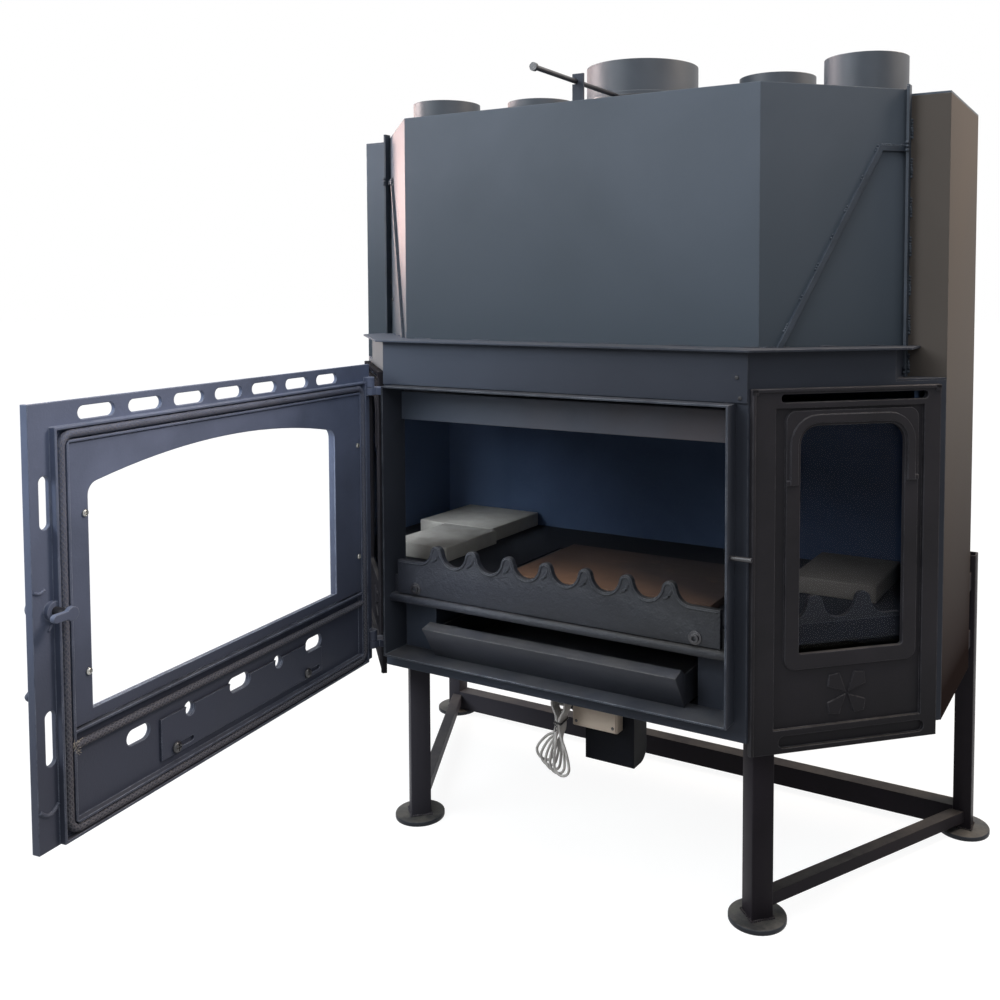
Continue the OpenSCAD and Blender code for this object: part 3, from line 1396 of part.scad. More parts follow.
module lead_tie() {
  x = waist_x + lead_r + 0.8;
  ya = fy + hank_y - lead_r - 0.8;
  yb = fy + hank_y + layer*loop_n + lead_r;
  color([0.15, 0.15, 0.15]) translate([hank_x, 0, 0]) difference() {
    box([-x - 1.6, ya - 1.6, waist_z - 2], [x + 1.6, yb + 1.6, waist_z + 2]);
    box([-x, ya, waist_z - 3], [x, yb, waist_z + 3]);
  }
}

front_frame();
door_collar();
inner_lintel();
angled_panel_left();
angled_panel_right();
side_panel_left();
side_panel_right();
back_panel();
bottom_plate();
corner_closures();
shelf_flange();
hood_shell();
top_plate();
hood_bars();
smoke_pipe();
flue_collar();
outlets_left();
outlets_right();
damper_gate();
damper_guide();
chamber_floor();
chamber_walls();
chamber_top();
baffle_plate();
hearth_floor();
grate();
hearth_apron();
log_fence();
side_fences();
clay_slabs();
hearth_board();
ash_bay_sides();
ash_drawer_tray();
ash_drawer_front();
window_frame_left();
window_frame_right();
window_panes();
hinge_brackets();
latch_keeper();
door_frame();
door_glass();
glass_retainer();
door_screws();
door_ropes();
air_slide();
latch_spindle();
latch_finger();
door_handle();
front_legs();
rear_legs();
foot_plates();
braces();
blower_housing();
blower_motor();
blower_wheel();
control_box();
lead_hank();
blower_lead();
lead_glands();
lead_tie();
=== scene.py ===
import json
import math
import random

import bpy
from mathutils import Euler, Matrix, Vector


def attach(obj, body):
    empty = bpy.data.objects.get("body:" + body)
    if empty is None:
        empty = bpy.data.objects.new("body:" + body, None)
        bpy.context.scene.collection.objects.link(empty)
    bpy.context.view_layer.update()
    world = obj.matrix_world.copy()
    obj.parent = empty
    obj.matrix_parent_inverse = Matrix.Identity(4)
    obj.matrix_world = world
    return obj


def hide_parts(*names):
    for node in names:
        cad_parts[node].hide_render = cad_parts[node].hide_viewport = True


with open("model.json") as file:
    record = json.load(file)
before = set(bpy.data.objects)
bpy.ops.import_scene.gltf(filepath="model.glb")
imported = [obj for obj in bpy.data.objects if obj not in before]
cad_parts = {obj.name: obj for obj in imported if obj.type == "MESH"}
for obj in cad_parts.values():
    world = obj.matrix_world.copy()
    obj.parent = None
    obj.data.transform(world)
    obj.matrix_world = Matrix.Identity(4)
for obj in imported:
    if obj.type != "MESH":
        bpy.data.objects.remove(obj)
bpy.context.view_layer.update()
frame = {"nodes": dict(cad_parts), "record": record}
NODES = frame["nodes"]
BODY_OF = {n: b for b, ns in frame["record"]["behaviour"]["bodies"].items() for n in ns}
random.seed(7)


# ---------------------------------------------------------------- camera

CAMERA_AT = (0.8289, -1.728, 0.9436)
CAMERA_TURN = (87.0, 0.1, 29.8)
CAMERA_LENS, CAMERA_SENSOR = 37.77, 36
CAMERA_SHIFT = (-0.0654, -0.1542)


def set_camera():
    data = bpy.data.cameras.new("front_camera")
    data.sensor_width = CAMERA_SENSOR
    data.lens = CAMERA_LENS
    data.shift_x, data.shift_y = CAMERA_SHIFT
    camera = bpy.data.objects.new("front_camera", data)
    camera.location = CAMERA_AT
    camera.rotation_euler = Euler([math.radians(angle) for angle in CAMERA_TURN])
    bpy.context.scene.collection.objects.link(camera)
    bpy.context.scene.camera = camera


set_camera()


# ---------------------------------------------------------------- small helpers

def mm(*values):
    return Vector([v / 1000 for v in values])


def deselect():
    bpy.ops.object.select_all(action="DESELECT")


def settle():
    """The place, turn and size of what is picked go into its mesh."""
    bpy.ops.object.transform_apply(location=True, rotation=True, scale=True)


def pick(*pieces):
    deselect()
    for piece in pieces:
        piece.select_set(True)
    bpy.context.view_layer.objects.active = pieces[0]


def start(name):
    piece = bpy.context.object
    piece.name = name
    piece.data.name = name
    return piece


def place(piece, matrix):
    pick(piece)
    piece.matrix_world = matrix @ piece.matrix_world
    settle()
    return piece


def apply_modifier(piece, kind, **settings):
    pick(piece)
    mod = piece.modifiers.new(kind.lower(), kind)
    for key, value in settings.items():
        setattr(mod, key, value)
    bpy.ops.object.modifier_apply(modifier=mod.name)


def join(name, pieces):
    pick(*pieces)
    bpy.ops.object.join()
    return start(name)


def copies(piece, places):
    """The piece at each place, every copy with a mesh of its own."""
    made = []
    for matrix in places:
        copy = piece.copy()
        copy.data = piece.data.copy()
        bpy.context.scene.collection.objects.link(copy)
        made.append(place(copy, matrix))
    bpy.data.objects.remove(piece)
    return made


def edit_all(piece):
    """Edit mode, with all of the piece selected."""
    pick(piece)
    bpy.ops.object.mode_set(mode="EDIT")
    bpy.ops.mesh.select_all(action="SELECT")


def end_edit():
    bpy.ops.object.mode_set(mode="OBJECT")


def face_outward(piece):
    edit_all(piece)
    bpy.ops.mesh.normals_make_consistent(inside=False)
    end_edit()


def break_edges(piece, width, segments=2):
    """A small bevel along every edge."""
    edit_all(piece)
    bpy.ops.mesh.bevel(offset=width, segments=segments, affect="EDGES")
    end_edit()


def block(name, centre, size, turn=0.0):
    deselect()
    bpy.ops.mesh.primitive_cube_add(size=1, location=centre, rotation=(0, 0, turn))
    piece = start(name)
    piece.scale = size
    settle()
    return piece


def cylinder(name, sides, radius, depth, centre=(0, 0, 0), turn=(0, 0, 0)):
    deselect()
    bpy.ops.mesh.primitive_cylinder_add(vertices=sides, radius=radius, depth=depth, location=centre,
                                        rotation=turn)
    piece = start(name)
    settle()
    return piece


def sphere(name, segments, rings, radius):
    deselect()
    bpy.ops.mesh.primitive_uv_sphere_add(segments=segments, ring_count=rings, radius=radius)
    return start(name)


def cut_out(piece, cutter):
    apply_modifier(piece, "BOOLEAN", object=cutter, operation="DIFFERENCE", solver="EXACT")
    bpy.data.objects.remove(cutter)


def finish_piece(piece, body, material, replaces=(), angle=35):
    pick(piece)
    settle()
    bpy.ops.object.shade_smooth_by_angle(angle=math.radians(angle))
    piece.data.materials.clear()
    piece.data.materials.append(material)
    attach(piece, body)
    if replaces:
        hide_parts(*replaces)
    return piece


# on the door, e runs from its hinge edge to its free edge; on a slanted face, s runs from its front edge
HINGE = mm(-328, -371, 0)
HINGE_TO_EDGE = 9
DOOR_TURN = math.radians(-82)
DOOR = (Matrix.Translation(HINGE) @ Matrix.Rotation(DOOR_TURN, 4, "Z")
        @ Matrix.Translation(mm(-HINGE_TO_EDGE, 0, 0)))
SLANT = math.radians(45)
ANGLED_RIGHT = Matrix.Translation(mm(325, -335, 0)) @ Matrix.Rotation(SLANT, 4, "Z")
HOOD_RIGHT = Matrix.Translation(mm(320, -280, 0)) @ Matrix.Rotation(SLANT, 4, "Z")


# ---------------------------------------------------------------- tubes

def tube(name, points, radius, sides, relief=None, closed=False, up=(0, 1, 0.13)):
    """A round tube along points, with a map that runs round it and along it."""
    points = [Vector(p) for p in points]
    count = len(points)
    frames, along = [], [0.0]
    for i in range(1, count):
        along.append(along[-1] + (points[i] - points[i - 1]).length)
    side = None
    for i in range(count):
        before = points[i - 1] if (i or closed) else points[i]
        after = points[(i + 1) % count] if (i < count - 1 or closed) else points[i]
        way = (after - before).normalized()
        if side is None:
            side = way.cross(Vector(up)).normalized()
        side = (side - way * side.dot(way)).normalized()
        frames.append((side.copy(), way.cross(side).normalized()))
    if closed:
        # the small twist left at the joint is spread over the whole run
        way = (points[1] - points[-1]).normalized()
        last = (frames[-1][0] - way * frames[-1][0].dot(way)).normalized()
        twist = math.atan2(last.dot(frames[0][1]), last.dot(frames[0][0]))
    else:
        twist = 0.0
    verts, faces, maps = [], [], []
    for i, p in enumerate(points):
        turn = -twist * i / count
        for j in range(sides):
            a = 2 * math.pi * j / sides
            r = radius * (relief(a, along[i]) if relief else 1.0)
            verts.append(p + r * (math.cos(a + turn) * frames[i][0] + math.sin(a + turn) * frames[i][1]))
    for i in range(count if closed else count - 1):
        k = (i + 1) % count
        v0 = along[i]
        v1 = along[k] if k else along[-1] + (points[0] - points[-1]).length
        for j in range(sides):
            m = (j + 1) % sides
            faces.append((i * sides + j, i * sides + m, k * sides + m, k * sides + j))
            maps.append(((j / sides, v0), ((j + 1) / sides, v0), ((j + 1) / sides, v1), (j / sides, v1)))
    if not closed:
        faces.append(tuple(reversed(range(sides))))
        maps.append(tuple((0.5, along[0]) for _ in range(sides)))
        faces.append(tuple((count - 1) * sides + j for j in range(sides)))
        maps.append(tuple((0.5, along[-1]) for _ in range(sides)))
    mesh = bpy.data.meshes.new(name)
    mesh.from_pydata([tuple(v) for v in verts], [], faces)
    layer = mesh.uv_layers.new(name="run")
    for n, uv in enumerate(uv for group in maps for uv in group):
        layer.data[n].uv = uv
    piece = bpy.data.objects.new(name, mesh)
    bpy.context.scene.collection.objects.link(piece)
    face_outward(piece)
    return piece


# ---------------------------------------------------------------- the blower's lead

LEAD_D = 4.5
HANK_X, HANK_Y, FACE_Y, BODY_Z = -2, 30, -335, 300
WAIST_Z, WAIST_X, LOBE_R, LOBE_UP, LOBE_DN, LAYER = BODY_Z - 48, 2.75, 13.5, 30, 72, 5
LOOPS, GLAND_H, END_U = 5, 8, 0.7
RUN_DOWN, ROUND_LOW, RUN_UP = 0.36, 0.54, 0.9
FAN_FIRST, FAN_STEP, FAN_FROM = 6, 9, 45
BOX_EXIT = (-12, -264, 265)


def ease(u):
    return (1 - math.cos(math.pi * min(max(u, 0), 1))) / 2


def half_width(h):
    return WAIST_X + (LOBE_R - WAIST_X) * (ease(h / LOBE_DN) if h > 0 else ease(-h / LOBE_UP))


def hank_place(k, s, h, y):
    """A point of loop k: s to the side of its middle line, h below the waist, y behind its front."""
    a = math.radians((FAN_FIRST - FAN_STEP * k) * ease(h / FAN_FROM))
    drop = h * math.cos(a) - s * math.sin(a) * ease(h / LOBE_DN) if h > 0 else h
    return Vector((HANK_X + s + max(h, 0) * math.sin(a), FACE_Y + HANK_Y + LAYER * k + y, WAIST_Z - drop))


def loop_point(k, u):
    """Loop k, from u = 0 at its top: down one side, round below, up the other side, and over to the next."""
    run = LOBE_UP + LOBE_DN
    if u < RUN_DOWN:
        h = -LOBE_UP + run * u / RUN_DOWN
        return hank_place(k, half_width(h), h, 0)
    if u < ROUND_LOW:
        q = (u - RUN_DOWN) / (ROUND_LOW - RUN_DOWN) * math.pi
        return hank_place(k, LOBE_R * math.cos(q), LOBE_DN + LOBE_R * math.sin(q), 0)
    if u < RUN_UP:
        f = (u - ROUND_LOW) / (RUN_UP - ROUND_LOW)
        h = LOBE_DN - run * f
        return hank_place(k, -half_width(h), h, LAYER * ease(f))
    q = (u - RUN_UP) / (1 - RUN_UP) * math.pi
    return hank_place(k, -LOBE_R * math.cos(q), -LOBE_UP - LOBE_R * math.sin(q), LAYER)


def lead_route(steps=48, bend_steps=18, rise=26, run_in=24):
    """Out of the body, through the hank, and on a smooth bend into the control box."""
    top = Vector((HANK_X + LOBE_R, FACE_Y + HANK_Y, BODY_Z - GLAND_H))
    route = [top, top - Vector((0, 0, LEAD_D))]
    for k in range(LOOPS):
        for i in range(steps):
            u = i / steps
            if k < LOOPS - 1 or u <= END_U:
                route.append(loop_point(k, u))
    end = loop_point(LOOPS - 1, END_U) + Vector((-0.5, 0.3, 9))
    tip = end + Vector((0, 0, LEAD_D))
    b = Vector(BOX_EXIT)
    b1 = b - Vector((LEAD_D, 0, 0))
    p0, p1, p2 = tip + Vector((0, 0, 2)), tip + Vector((0, 0, rise)), b1 - Vector((run_in, 0, 0))
    route += [end, tip, p0]
    for i in range(1, bend_steps):
        t = i / bend_steps
        route.append((1 - t) ** 3 * p0 + 3 * t * (1 - t) ** 2 * p1 + 3 * t * t * (1 - t) * p2 + t ** 3 * b1)
    route += [b1, b]
    return [p / 1000 for p in route]


lead_points = lead_route()
mains_lead = tube("mains_lead", lead_points, LEAD_D / 2000, 12)


# ---------------------------------------------------------------- shader groups

def rgb(code):
    def line(v):
        return v / 12.92 if v <= 0.04045 else ((v + 0.055) / 1.055) ** 2.4
    return tuple(line(int(code[i:i + 2], 16) / 255) for i in (1, 3, 5)) + (1.0,)


class Tree:
    """Nodes are added by type. An input takes a number, a tuple, a colour's code or another node's output."""

    def __init__(self, tree):
        self.tree = tree

    def add(self, kind, **settings):
        node = self.tree.nodes.new(kind)
        for key, value in settings.items():
            setattr(node, key, value)
        return node

    def feed(self, value, socket):
        if isinstance(value, bpy.types.NodeSocket):
            self.tree.links.new(value, socket)
        else:
            socket.default_value = rgb(value) if isinstance(value, str) else value

    def fill(self, node, **values):
        """Each value goes to the input of its name, with _ for a space."""
        for key, value in values.items():
            self.feed(value, node.inputs[key.replace("_", " ")])
        return node

    def noise(self, coords, scale, detail, rough=0.5, distortion=0.0):
        node = self.add("ShaderNodeTexNoise")
        self.fill(node, Vector=coords, Scale=scale, Detail=detail, Roughness=rough, Distortion=distortion)
        return node.outputs["Fac"]

    def span(self, value, a, b, c=0.0, d=1.0):
        """The value, changed so that a becomes c and b becomes d."""
        node = self.add("ShaderNodeMapRange")
        self.fill(node, Value=value, From_Min=a, From_Max=b, To_Min=c, To_Max=d)
        return node.outputs["Result"]

    def pair(self, node, a, b):
        self.feed(a, node.inputs[0])
        self.feed(b, node.inputs[1])
        return node.outputs

    def calc(self, operation, a, b=0.0):
        return self.pair(self.add("ShaderNodeMath", operation=operation), a, b)[0]

    def dot(self, a, b):
        return self.pair(self.add("ShaderNodeVectorMath", operation="DOT_PRODUCT"), a, b)["Value"]

    def times(self, first, *others):
        for other in others:
            first = self.calc("MULTIPLY", first, other)
        return first

    def mix(self, share, a, b):
        """Colour a, with a share of colour b."""
        node = self.add("ShaderNodeMix", data_type="RGBA")
        for i, value in ((0, share), (6, a), (7, b)):
            self.feed(value, node.inputs[i])
        return node.outputs[2]

    def stain(self, tone, colour, value, a, b, c, d):
        """A colour laid over the tone, by a share from c to d where the value goes from a to b."""
        return self.mix(self.span(value, a, b, c, d), tone, colour)

    def parts(self, vector):
        return self.fill(self.add("ShaderNodeSeparateXYZ"), Vector=vector).outputs

    def bump(self, shader, height, strength, distance, **under):
        """Relief for a shader, over the normal under it where one is given."""
        node = self.add("ShaderNodeBump")
        self.fill(node, Height=height, Strength=strength, Distance=distance, **under)
        self.fill(shader, Normal=node.outputs["Normal"])


def new_group(name, inputs, outputs):
    group = bpy.data.node_groups.new(name, "ShaderNodeTree")
    for label, default in inputs:
        socket = group.interface.new_socket(name=label, in_out="INPUT", socket_type="NodeSocketFloat")
        socket.default_value = default
    for label, kind in outputs:
        group.interface.new_socket(name=label, in_out="OUTPUT", socket_type=kind)
    tree = Tree(group)
    enter = group.nodes.new("NodeGroupInput")
    leave = group.nodes.new("NodeGroupOutput")
    coords = group.nodes.new("ShaderNodeTexCoord").outputs["Object"]
    return group, tree, enter.outputs, leave.inputs, coords


def paint_grain_group():
    """Stipple of sprayed stove paint: a fine grain, and slow clouds in its tone."""
    group, t, given, out, coords = new_group(
        "paint_grain", [("Grain Scale", 700.0), ("Cloud Scale", 5.0)],
        [("Grain", "NodeSocketFloat"), ("Cloud", "NodeSocketFloat")])
    t.feed(t.noise(coords, given["Grain Scale"], 4), out["Grain"])
    t.feed(t.span(t.noise(coords, given["Cloud Scale"], 5, distortion=0.4), 0.3, 0.7), out["Cloud"])
    return group


def edge_rub_and_highlight_group():
    """Where edges are rubbed, and where they take a painted highlight: the rounded normal against the true one,
    broken up by noise.
    """
    group, t, given, out, coords = new_group(
        "edge_rub_and_highlight", [("Reach", 0.0016), ("Amount", 1.0)],
        [("Rub And Highlight", "NodeSocketFloat"), ("Normal", "NodeSocketVector")])
    rounded = t.fill(t.add("ShaderNodeBevel", samples=4), Radius=given["Reach"]).outputs["Normal"]
    edge = t.span(t.dot(rounded, t.add("ShaderNodeNewGeometry").outputs["Normal"]), 0.995, 0.86)
    patch = t.span(t.noise(coords, 28, 5, 0.7), 0.36, 0.62, 0.1, 1.0)
    t.feed(t.times(edge, patch, given["Amount"]), out["Rub And Highlight"])
    t.feed(rounded, out["Normal"])
    return group


def dust_group():
    """Dust that lies on faces turned up, thicker in some places."""
    group, t, given, out, coords = new_group(
        "dust", [("Amount", 0.3)], [("Dust", "NodeSocketFloat")])
    up = t.span(t.parts(t.add("ShaderNodeNewGeometry").outputs["Normal"])["Z"], 0.55, 1.0)
    cover = t.span(t.noise(coords, 14, 6, 0.7), 0.35, 0.75, 0.15, 1.0)
    t.feed(t.times(up, cover, given["Amount"]), out["Dust"])
    return group


def braid_group():
    """Braided glass-fibre yarn, laid out on the piece's own run map."""
    group, t, given, out, coords = new_group(
        "braid", [("Strands", 6.0), ("Pitch", 110.0)],
        [("Yarn", "NodeSocketFloat"), ("Fuzz", "NodeSocketFloat")])
    run = t.parts(t.add("ShaderNodeUVMap", uv_map="run").outputs["UV"])
    turn = t.times(run["X"], given["Strands"], 2 * math.pi)
    step = t.times(run["Y"], given["Pitch"], 2 * math.pi)
    one = t.calc("SINE", t.calc("ADD", turn, step))
    two = t.calc("SINE", t.calc("SUBTRACT", turn, step))
    t.feed(t.span(t.calc("MAXIMUM", one, two), -0.2, 1.0), out["Yarn"])
    t.feed(t.noise(coords, 1500, 2, 0.6), out["Fuzz"])
    return group


PAINT_GRAIN, EDGE_RUB_AND_HIGHLIGHT, DUST, BRAID = paint_grain_group(), edge_rub_and_highlight_group(), dust_group(), braid_group()


# ---------------------------------------------------------------- materials

def new_material(name):
    material = bpy.data.materials.new(name)
    material.use_nodes = True
    tree = Tree(material.node_tree)
    shader = material.node_tree.nodes["Principled BSDF"]
    coords = tree.add("ShaderNodeTexCoord").outputs["Object"]
    return material, tree, shader, coords


def use_group(t, group, **values):
    return t.fill(t.add("ShaderNodeGroup", node_tree=group), **values)


def coated_metal(name, dark, light, rub_and_highlight, dust="#8d877c", rough=(0.5, 0.66), grain=700.0, cloud=5.0,
                 bump=0.12, depth=0.0003, rub_and_highlight_amount=0.8, dust_amount=0.18, reach=0.0016, metallic=0.0,
                 specular=0.5, lump=0.0, tint=None, low=None, gloss=None, left=None, outer=None):
    """Paint, soot or bare metal with a grain, clouds, rubbed edges that also carry a painted highlight, and
    dust.
    low gives a darker tone lower down, painted shade where less light reaches, and the heights it changes
    between.
    left gives a lighter tone to the left, painted light, and the places it changes between.
    outer gives a darker tone to the faces that look one way, and that way; the lighter tones left on the other
    faces are painted light.
    gloss gives the heights between which the paint goes from dull to its full shine."""
    material, t, shader, coords = new_material(name)
    skin = use_group(t, PAINT_GRAIN, Grain_Scale=grain, Cloud_Scale=cloud).outputs
    edge = use_group(t, EDGE_RUB_AND_HIGHLIGHT, Reach=reach, Amount=rub_and_highlight_amount).outputs
    dirt = use_group(t, DUST, Amount=dust_amount).outputs
    where = t.parts(coords) if low or left or gloss else None
    tone = t.mix(skin["Cloud"], dark, light)
    tone = t.stain(tone, light, skin["Grain"], 0.55, 0.8, 0.0, 0.35)
    if tint:
        tone = t.stain(tone, tint, t.noise(coords, 3.0, 4, 0.6), 0.45, 0.7, 0.0, 0.6)
    # Painted shade: a darker tone lower down.
    if low:
        tone = t.stain(tone, low[0], where["Z"], low[1], low[2], 0.85, 0.0)
    # Painted light: a lighter tone to the left.
    if left:
        tone = t.stain(tone, left[0], where["X"], left[1], left[2], 1.0, 0.0)
    # Faces turned out take the darker tone; the others keep the lighter tones, painted light.
    if outer:
        tone = t.stain(tone, outer[0], t.dot(coords.node.outputs["Normal"], outer[1]), 0.4, 0.8, 0.0, 1.0)
    # Edges take the lighter rub tone: wear, and also a painted highlight along them.
    tone = t.mix(edge["Rub And Highlight"], tone, rub_and_highlight)
    tone = t.mix(dirt["Dust"], tone, dust)
    mottled = t.calc("ADD", t.times(skin["Cloud"], 0.6), t.times(skin["Grain"], 0.4))
    height = skin["Grain"]
    if lump:
        height = t.calc("ADD", height, t.times(t.noise(coords, 120, 3, 0.6), lump))
    if gloss:
        specular = t.span(where["Z"], gloss[0], gloss[1], 0.0, specular)
    t.bump(shader, height, bump, depth, Normal=edge["Normal"])
    t.fill(shader, Base_Color=tone, Roughness=t.span(mottled, 0.1, 0.9, *rough), Metallic=metallic,
           Specular_IOR_Level=specular)
    return material


# The hood's darker tone lower down is painted shade.
HOOD_PAINT = coated_metal("hood_paint", "#4c535b", "#5b626c", "#7d838a", rough=(0.38, 0.48), cloud=2.6,
                          specular=0.1, low=("#414951", 0.86, 1.15))
# The casing's lighter tone to the left is painted light.
CASING_PAINT = coated_metal("casing_paint", "#2d3038", "#3b3f48", "#6d7078", rough=(0.46, 0.6), cloud=4.0,
                            specular=0.12, left=("#4e5562", -0.33, 0.1))
ANGLED_PAINT = coated_metal("angled_panel_paint", "#2c2f36", "#3a3d45", "#6d7078", rough=(0.36, 0.48),
                            cloud=4.0, specular=0.3, gloss=(0.77, 0.8))
# The side panel's warm brown tone is painted warm light, and its darker tone lower down is painted shade.
SIDE_PAINT = coated_metal("side_panel_paint", "#4d4844", "#5a544f", "#7d7873", rough=(0.48, 0.62), cloud=2.4,
                          specular=0.028, low=("#211819", 0.36, 0.8), gloss=(0.34, 0.86))
BAR_PAINT = coated_metal("welded_bar_paint", "#2f353d", "#3e454f", "#6f757d", rough=(0.42, 0.56), cloud=30.0,
                         bump=0.4, depth=0.0006, lump=1.5, reach=0.0012, rub_and_highlight_amount=1.0, specular=0.25)
# The stand's lighter tone to the left is painted light.
STAND_PAINT = coated_metal("stand_paint", "#221f23", "#2d292e", "#56524f", rough=(0.44, 0.6), cloud=9.0,
                           rub_and_highlight_amount=1.0, dust_amount=0.25, specular=0.06, left=("#454349", -0.36, 0.0))
FLUE_PAINT = coated_metal("flue_paint", "#363b42", "#444a52", "#6d7177", rough=(0.42, 0.56), cloud=7.0,
                          specular=0.35)
# The door castings' light blue tones are painted light on the door's inner side, the darker outer tone is kept
# for faces turned out, the darker tone lower down is painted shade, and the pale rubbed edges are partly a
# painted highlight.
CAST_PAINT = coated_metal("cast_iron_paint", "#5e677d", "#747e99", "#a3abbd", rough=(0.46, 0.64), grain=420.0,
                          cloud=9.0, bump=0.35, depth=0.0006, lump=1.2, reach=0.002, specular=0.22,
                          low=("#343641", 0.42, 0.74), outer=("#3a3e49", (-0.99, -0.139, 0.0)))
WINDOW_CASTING = dict(grain=420.0, cloud=8.0, bump=0.3, depth=0.0005, lump=1.0, reach=0.0022)
# The right window frame's darker tone lower down is painted shade.
WINDOW_PAINT = coated_metal("window_frame_paint", "#272629", "#343236", "#66656a", rough=(0.44, 0.6),
                            specular=0.1, low=("#151417", 0.28, 0.42), **WINDOW_CASTING)
DULL_WINDOW_PAINT = coated_metal("window_frame_paint_dull", "#272629", "#343236", "#55545a",
                                 rough=(0.6, 0.75), specular=0.0, **WINDOW_CASTING)
# The fence's lighter tone to the left is painted light.
FENCE_PAINT = coated_metal("fence_paint", "#1b1d21", "#282a2f", "#5d6066", rough=(0.42, 0.6), grain=380.0,
                           cloud=11.0, bump=0.6, depth=0.0009, lump=2.4, reach=0.002, specular=0.3,
                           left=("#343740", -0.3, 0.22))
SOOT_COAT = dict(rough=(0.62, 0.8), grain=300.0, bump=0.3, depth=0.0006, rub_and_highlight_amount=0.4, specular=0.15)
SOOT = coated_metal("firebox_soot", "#1b1d22", "#26282e", "#3c424c", cloud=7.0, dust="#3b3d40",
                    dust_amount=0.12, **SOOT_COAT)
# The chamber walls' light blue-grey tone is partly painted light over dark soot, and the lighter tone to the
# left is painted light.
WALL_SOOT_AND_PAINTED_LIGHT = coated_metal("firebox_wall_soot_and_painted_light", "#303e55", "#43526b", "#4c5869", cloud=4.0, dust_amount=0.1,
                         left=("#5a6b88", -0.47, -0.36), **SOOT_COAT)
# The lintel's lighter tone to the left is painted light; its brown patches are heat tint.
HEATED_PLATE = coated_metal("heat_tinted_plate", "#3d3f47", "#4d4f57", "#6d6d70", rough=(0.46, 0.62),
                            cloud=6.0, tint="#4c403c", rub_and_highlight_amount=0.5, specular=0.2,
                            left=("#57606e", -0.31, 0.1))
# The drawer's pale, wide rubbed edges are partly a painted highlight along its lip.
DRAWER_PAINT = coated_metal("drawer_paint", "#303238", "#3e4047", "#86827f", rough=(0.42, 0.56), cloud=6.0,
                            specular=0.2, rub_and_highlight_amount=1.0, reach=0.0022)
FOOT_PAINT = coated_metal("foot_plate_paint", "#1e2025", "#2a2e35", "#7a828e", rough=(0.38, 0.56), cloud=14.0,
                          bump=0.4, depth=0.0005, lump=1.5, rub_and_highlight_amount=1.0, dust_amount=0.6, specular=0.2)
# The collar's pale, wide rubbed edges are partly a painted highlight along its edges.
COLLAR_PAINT = coated_metal("collar_paint", "#2d3038", "#3c4049", "#8b9099", rough=(0.42, 0.56), cloud=4.0,
                            rub_and_highlight_amount=1.0, reach=0.0022, specular=0.16)
BARE_STEEL = coated_metal("bare_steel", "#8b8b88", "#b3b3af", "#d4d4d0", rough=(0.28, 0.42), grain=900.0,
                          cloud=30.0, bump=0.1, metallic=1.0, rub_and_highlight_amount=0.6, dust_amount=0.05, reach=0.0008)
DARK_STEEL = coated_metal("dark_steel", "#1d1d21", "#2b2b30", "#77777c", rough=(0.26, 0.4), cloud=22.0,
                          rub_and_highlight_amount=1.0, dust_amount=0.1, reach=0.0008, specular=0.6)


def fireclay_material():
    material, t, shader, coords = new_material("fireclay")
    clouds = t.span(t.noise(coords, 16, 6, 0.65), 0.3, 0.7)
    grit = t.noise(coords, 650, 3, 0.7)
    tone = t.mix(clouds, "#8d8a84", "#a9a69f")
    tone = t.stain(tone, "#6d6a62", grit, 0.58, 0.75, 0.0, 0.6)
    # The slabs to the right are darker: painted shade.
    tone = t.stain(tone, "#544d43", t.parts(coords)["X"], 0.2, 0.32, 0.0, 0.85)
    pores = t.fill(t.add("ShaderNodeTexVoronoi"), Scale=260, Vector=coords)
    pit = t.span(pores.outputs["Distance"], 0.0, 0.22, 1.0, 0.0)
    tone = t.mix(t.times(pit, 0.5), tone, "#5d5749")
    edge = use_group(t, EDGE_RUB_AND_HIGHLIGHT, Reach=0.0025, Amount=0.8).outputs
    tone = t.mix(edge["Rub And Highlight"], tone, "#c3bcaa")
    relief = t.calc("SUBTRACT", t.calc("ADD", grit, clouds), pit)
    t.bump(shader, relief, 0.6, 0.0008, Normal=edge["Normal"])
    t.fill(shader, Base_Color=tone, Roughness=t.span(grit, 0.2, 0.8, 0.82, 0.96))
    return material


def board_material():
    """Brown fibre board, darker to the back and to the right as painted shade."""
    material, t, shader, coords = new_material("hearth_board")
    stretch = t.fill(t.add("ShaderNodeMapping"), Scale=(6, 40, 40), Vector=coords)
    fibre = t.noise(stretch.outputs["Vector"], 6, 6, 0.7)
    tone = t.mix(t.span(t.noise(coords, 9, 4, 0.6), 0.3, 0.7), "#5d4232", "#7d5b44")
    tone = t.stain(tone, "#8e6a50", fibre, 0.4, 0.7, 0.0, 0.55)
    where = t.parts(coords)
    # Darker to the back and to the right: painted shade.
    dark = t.calc("ADD", t.span(where["Y"], -0.32, -0.14, 0.0, 0.8), t.span(where["X"], 0.0, 0.26, 0.0, 0.6))
    tone = t.mix(t.calc("MINIMUM", dark, 0.94), tone, "#1c171a")
    tone = t.stain(tone, "#4a372c", t.noise(coords, 30, 5, 0.7), 0.58, 0.75, 0.0, 0.6)
    t.bump(shader, fibre, 0.35, 0.0006)
    t.fill(shader, Base_Color=tone, Roughness=t.span(fibre, 0.2, 0.8, 0.72, 0.9))
    return material


def glass_material(name, tint, film):
    """Clear ceramic glass with a faint film wiped over it."""
    material, t, shader, coords = new_material(name)
    wipe = t.span(t.noise(coords, 5, 5, 0.6), 0.45, 0.8)
    t.fill(shader, Base_Color=t.mix(wipe, tint, film), Roughness=0.0, Transmission_Weight=1.0, IOR=1.1)
    return material


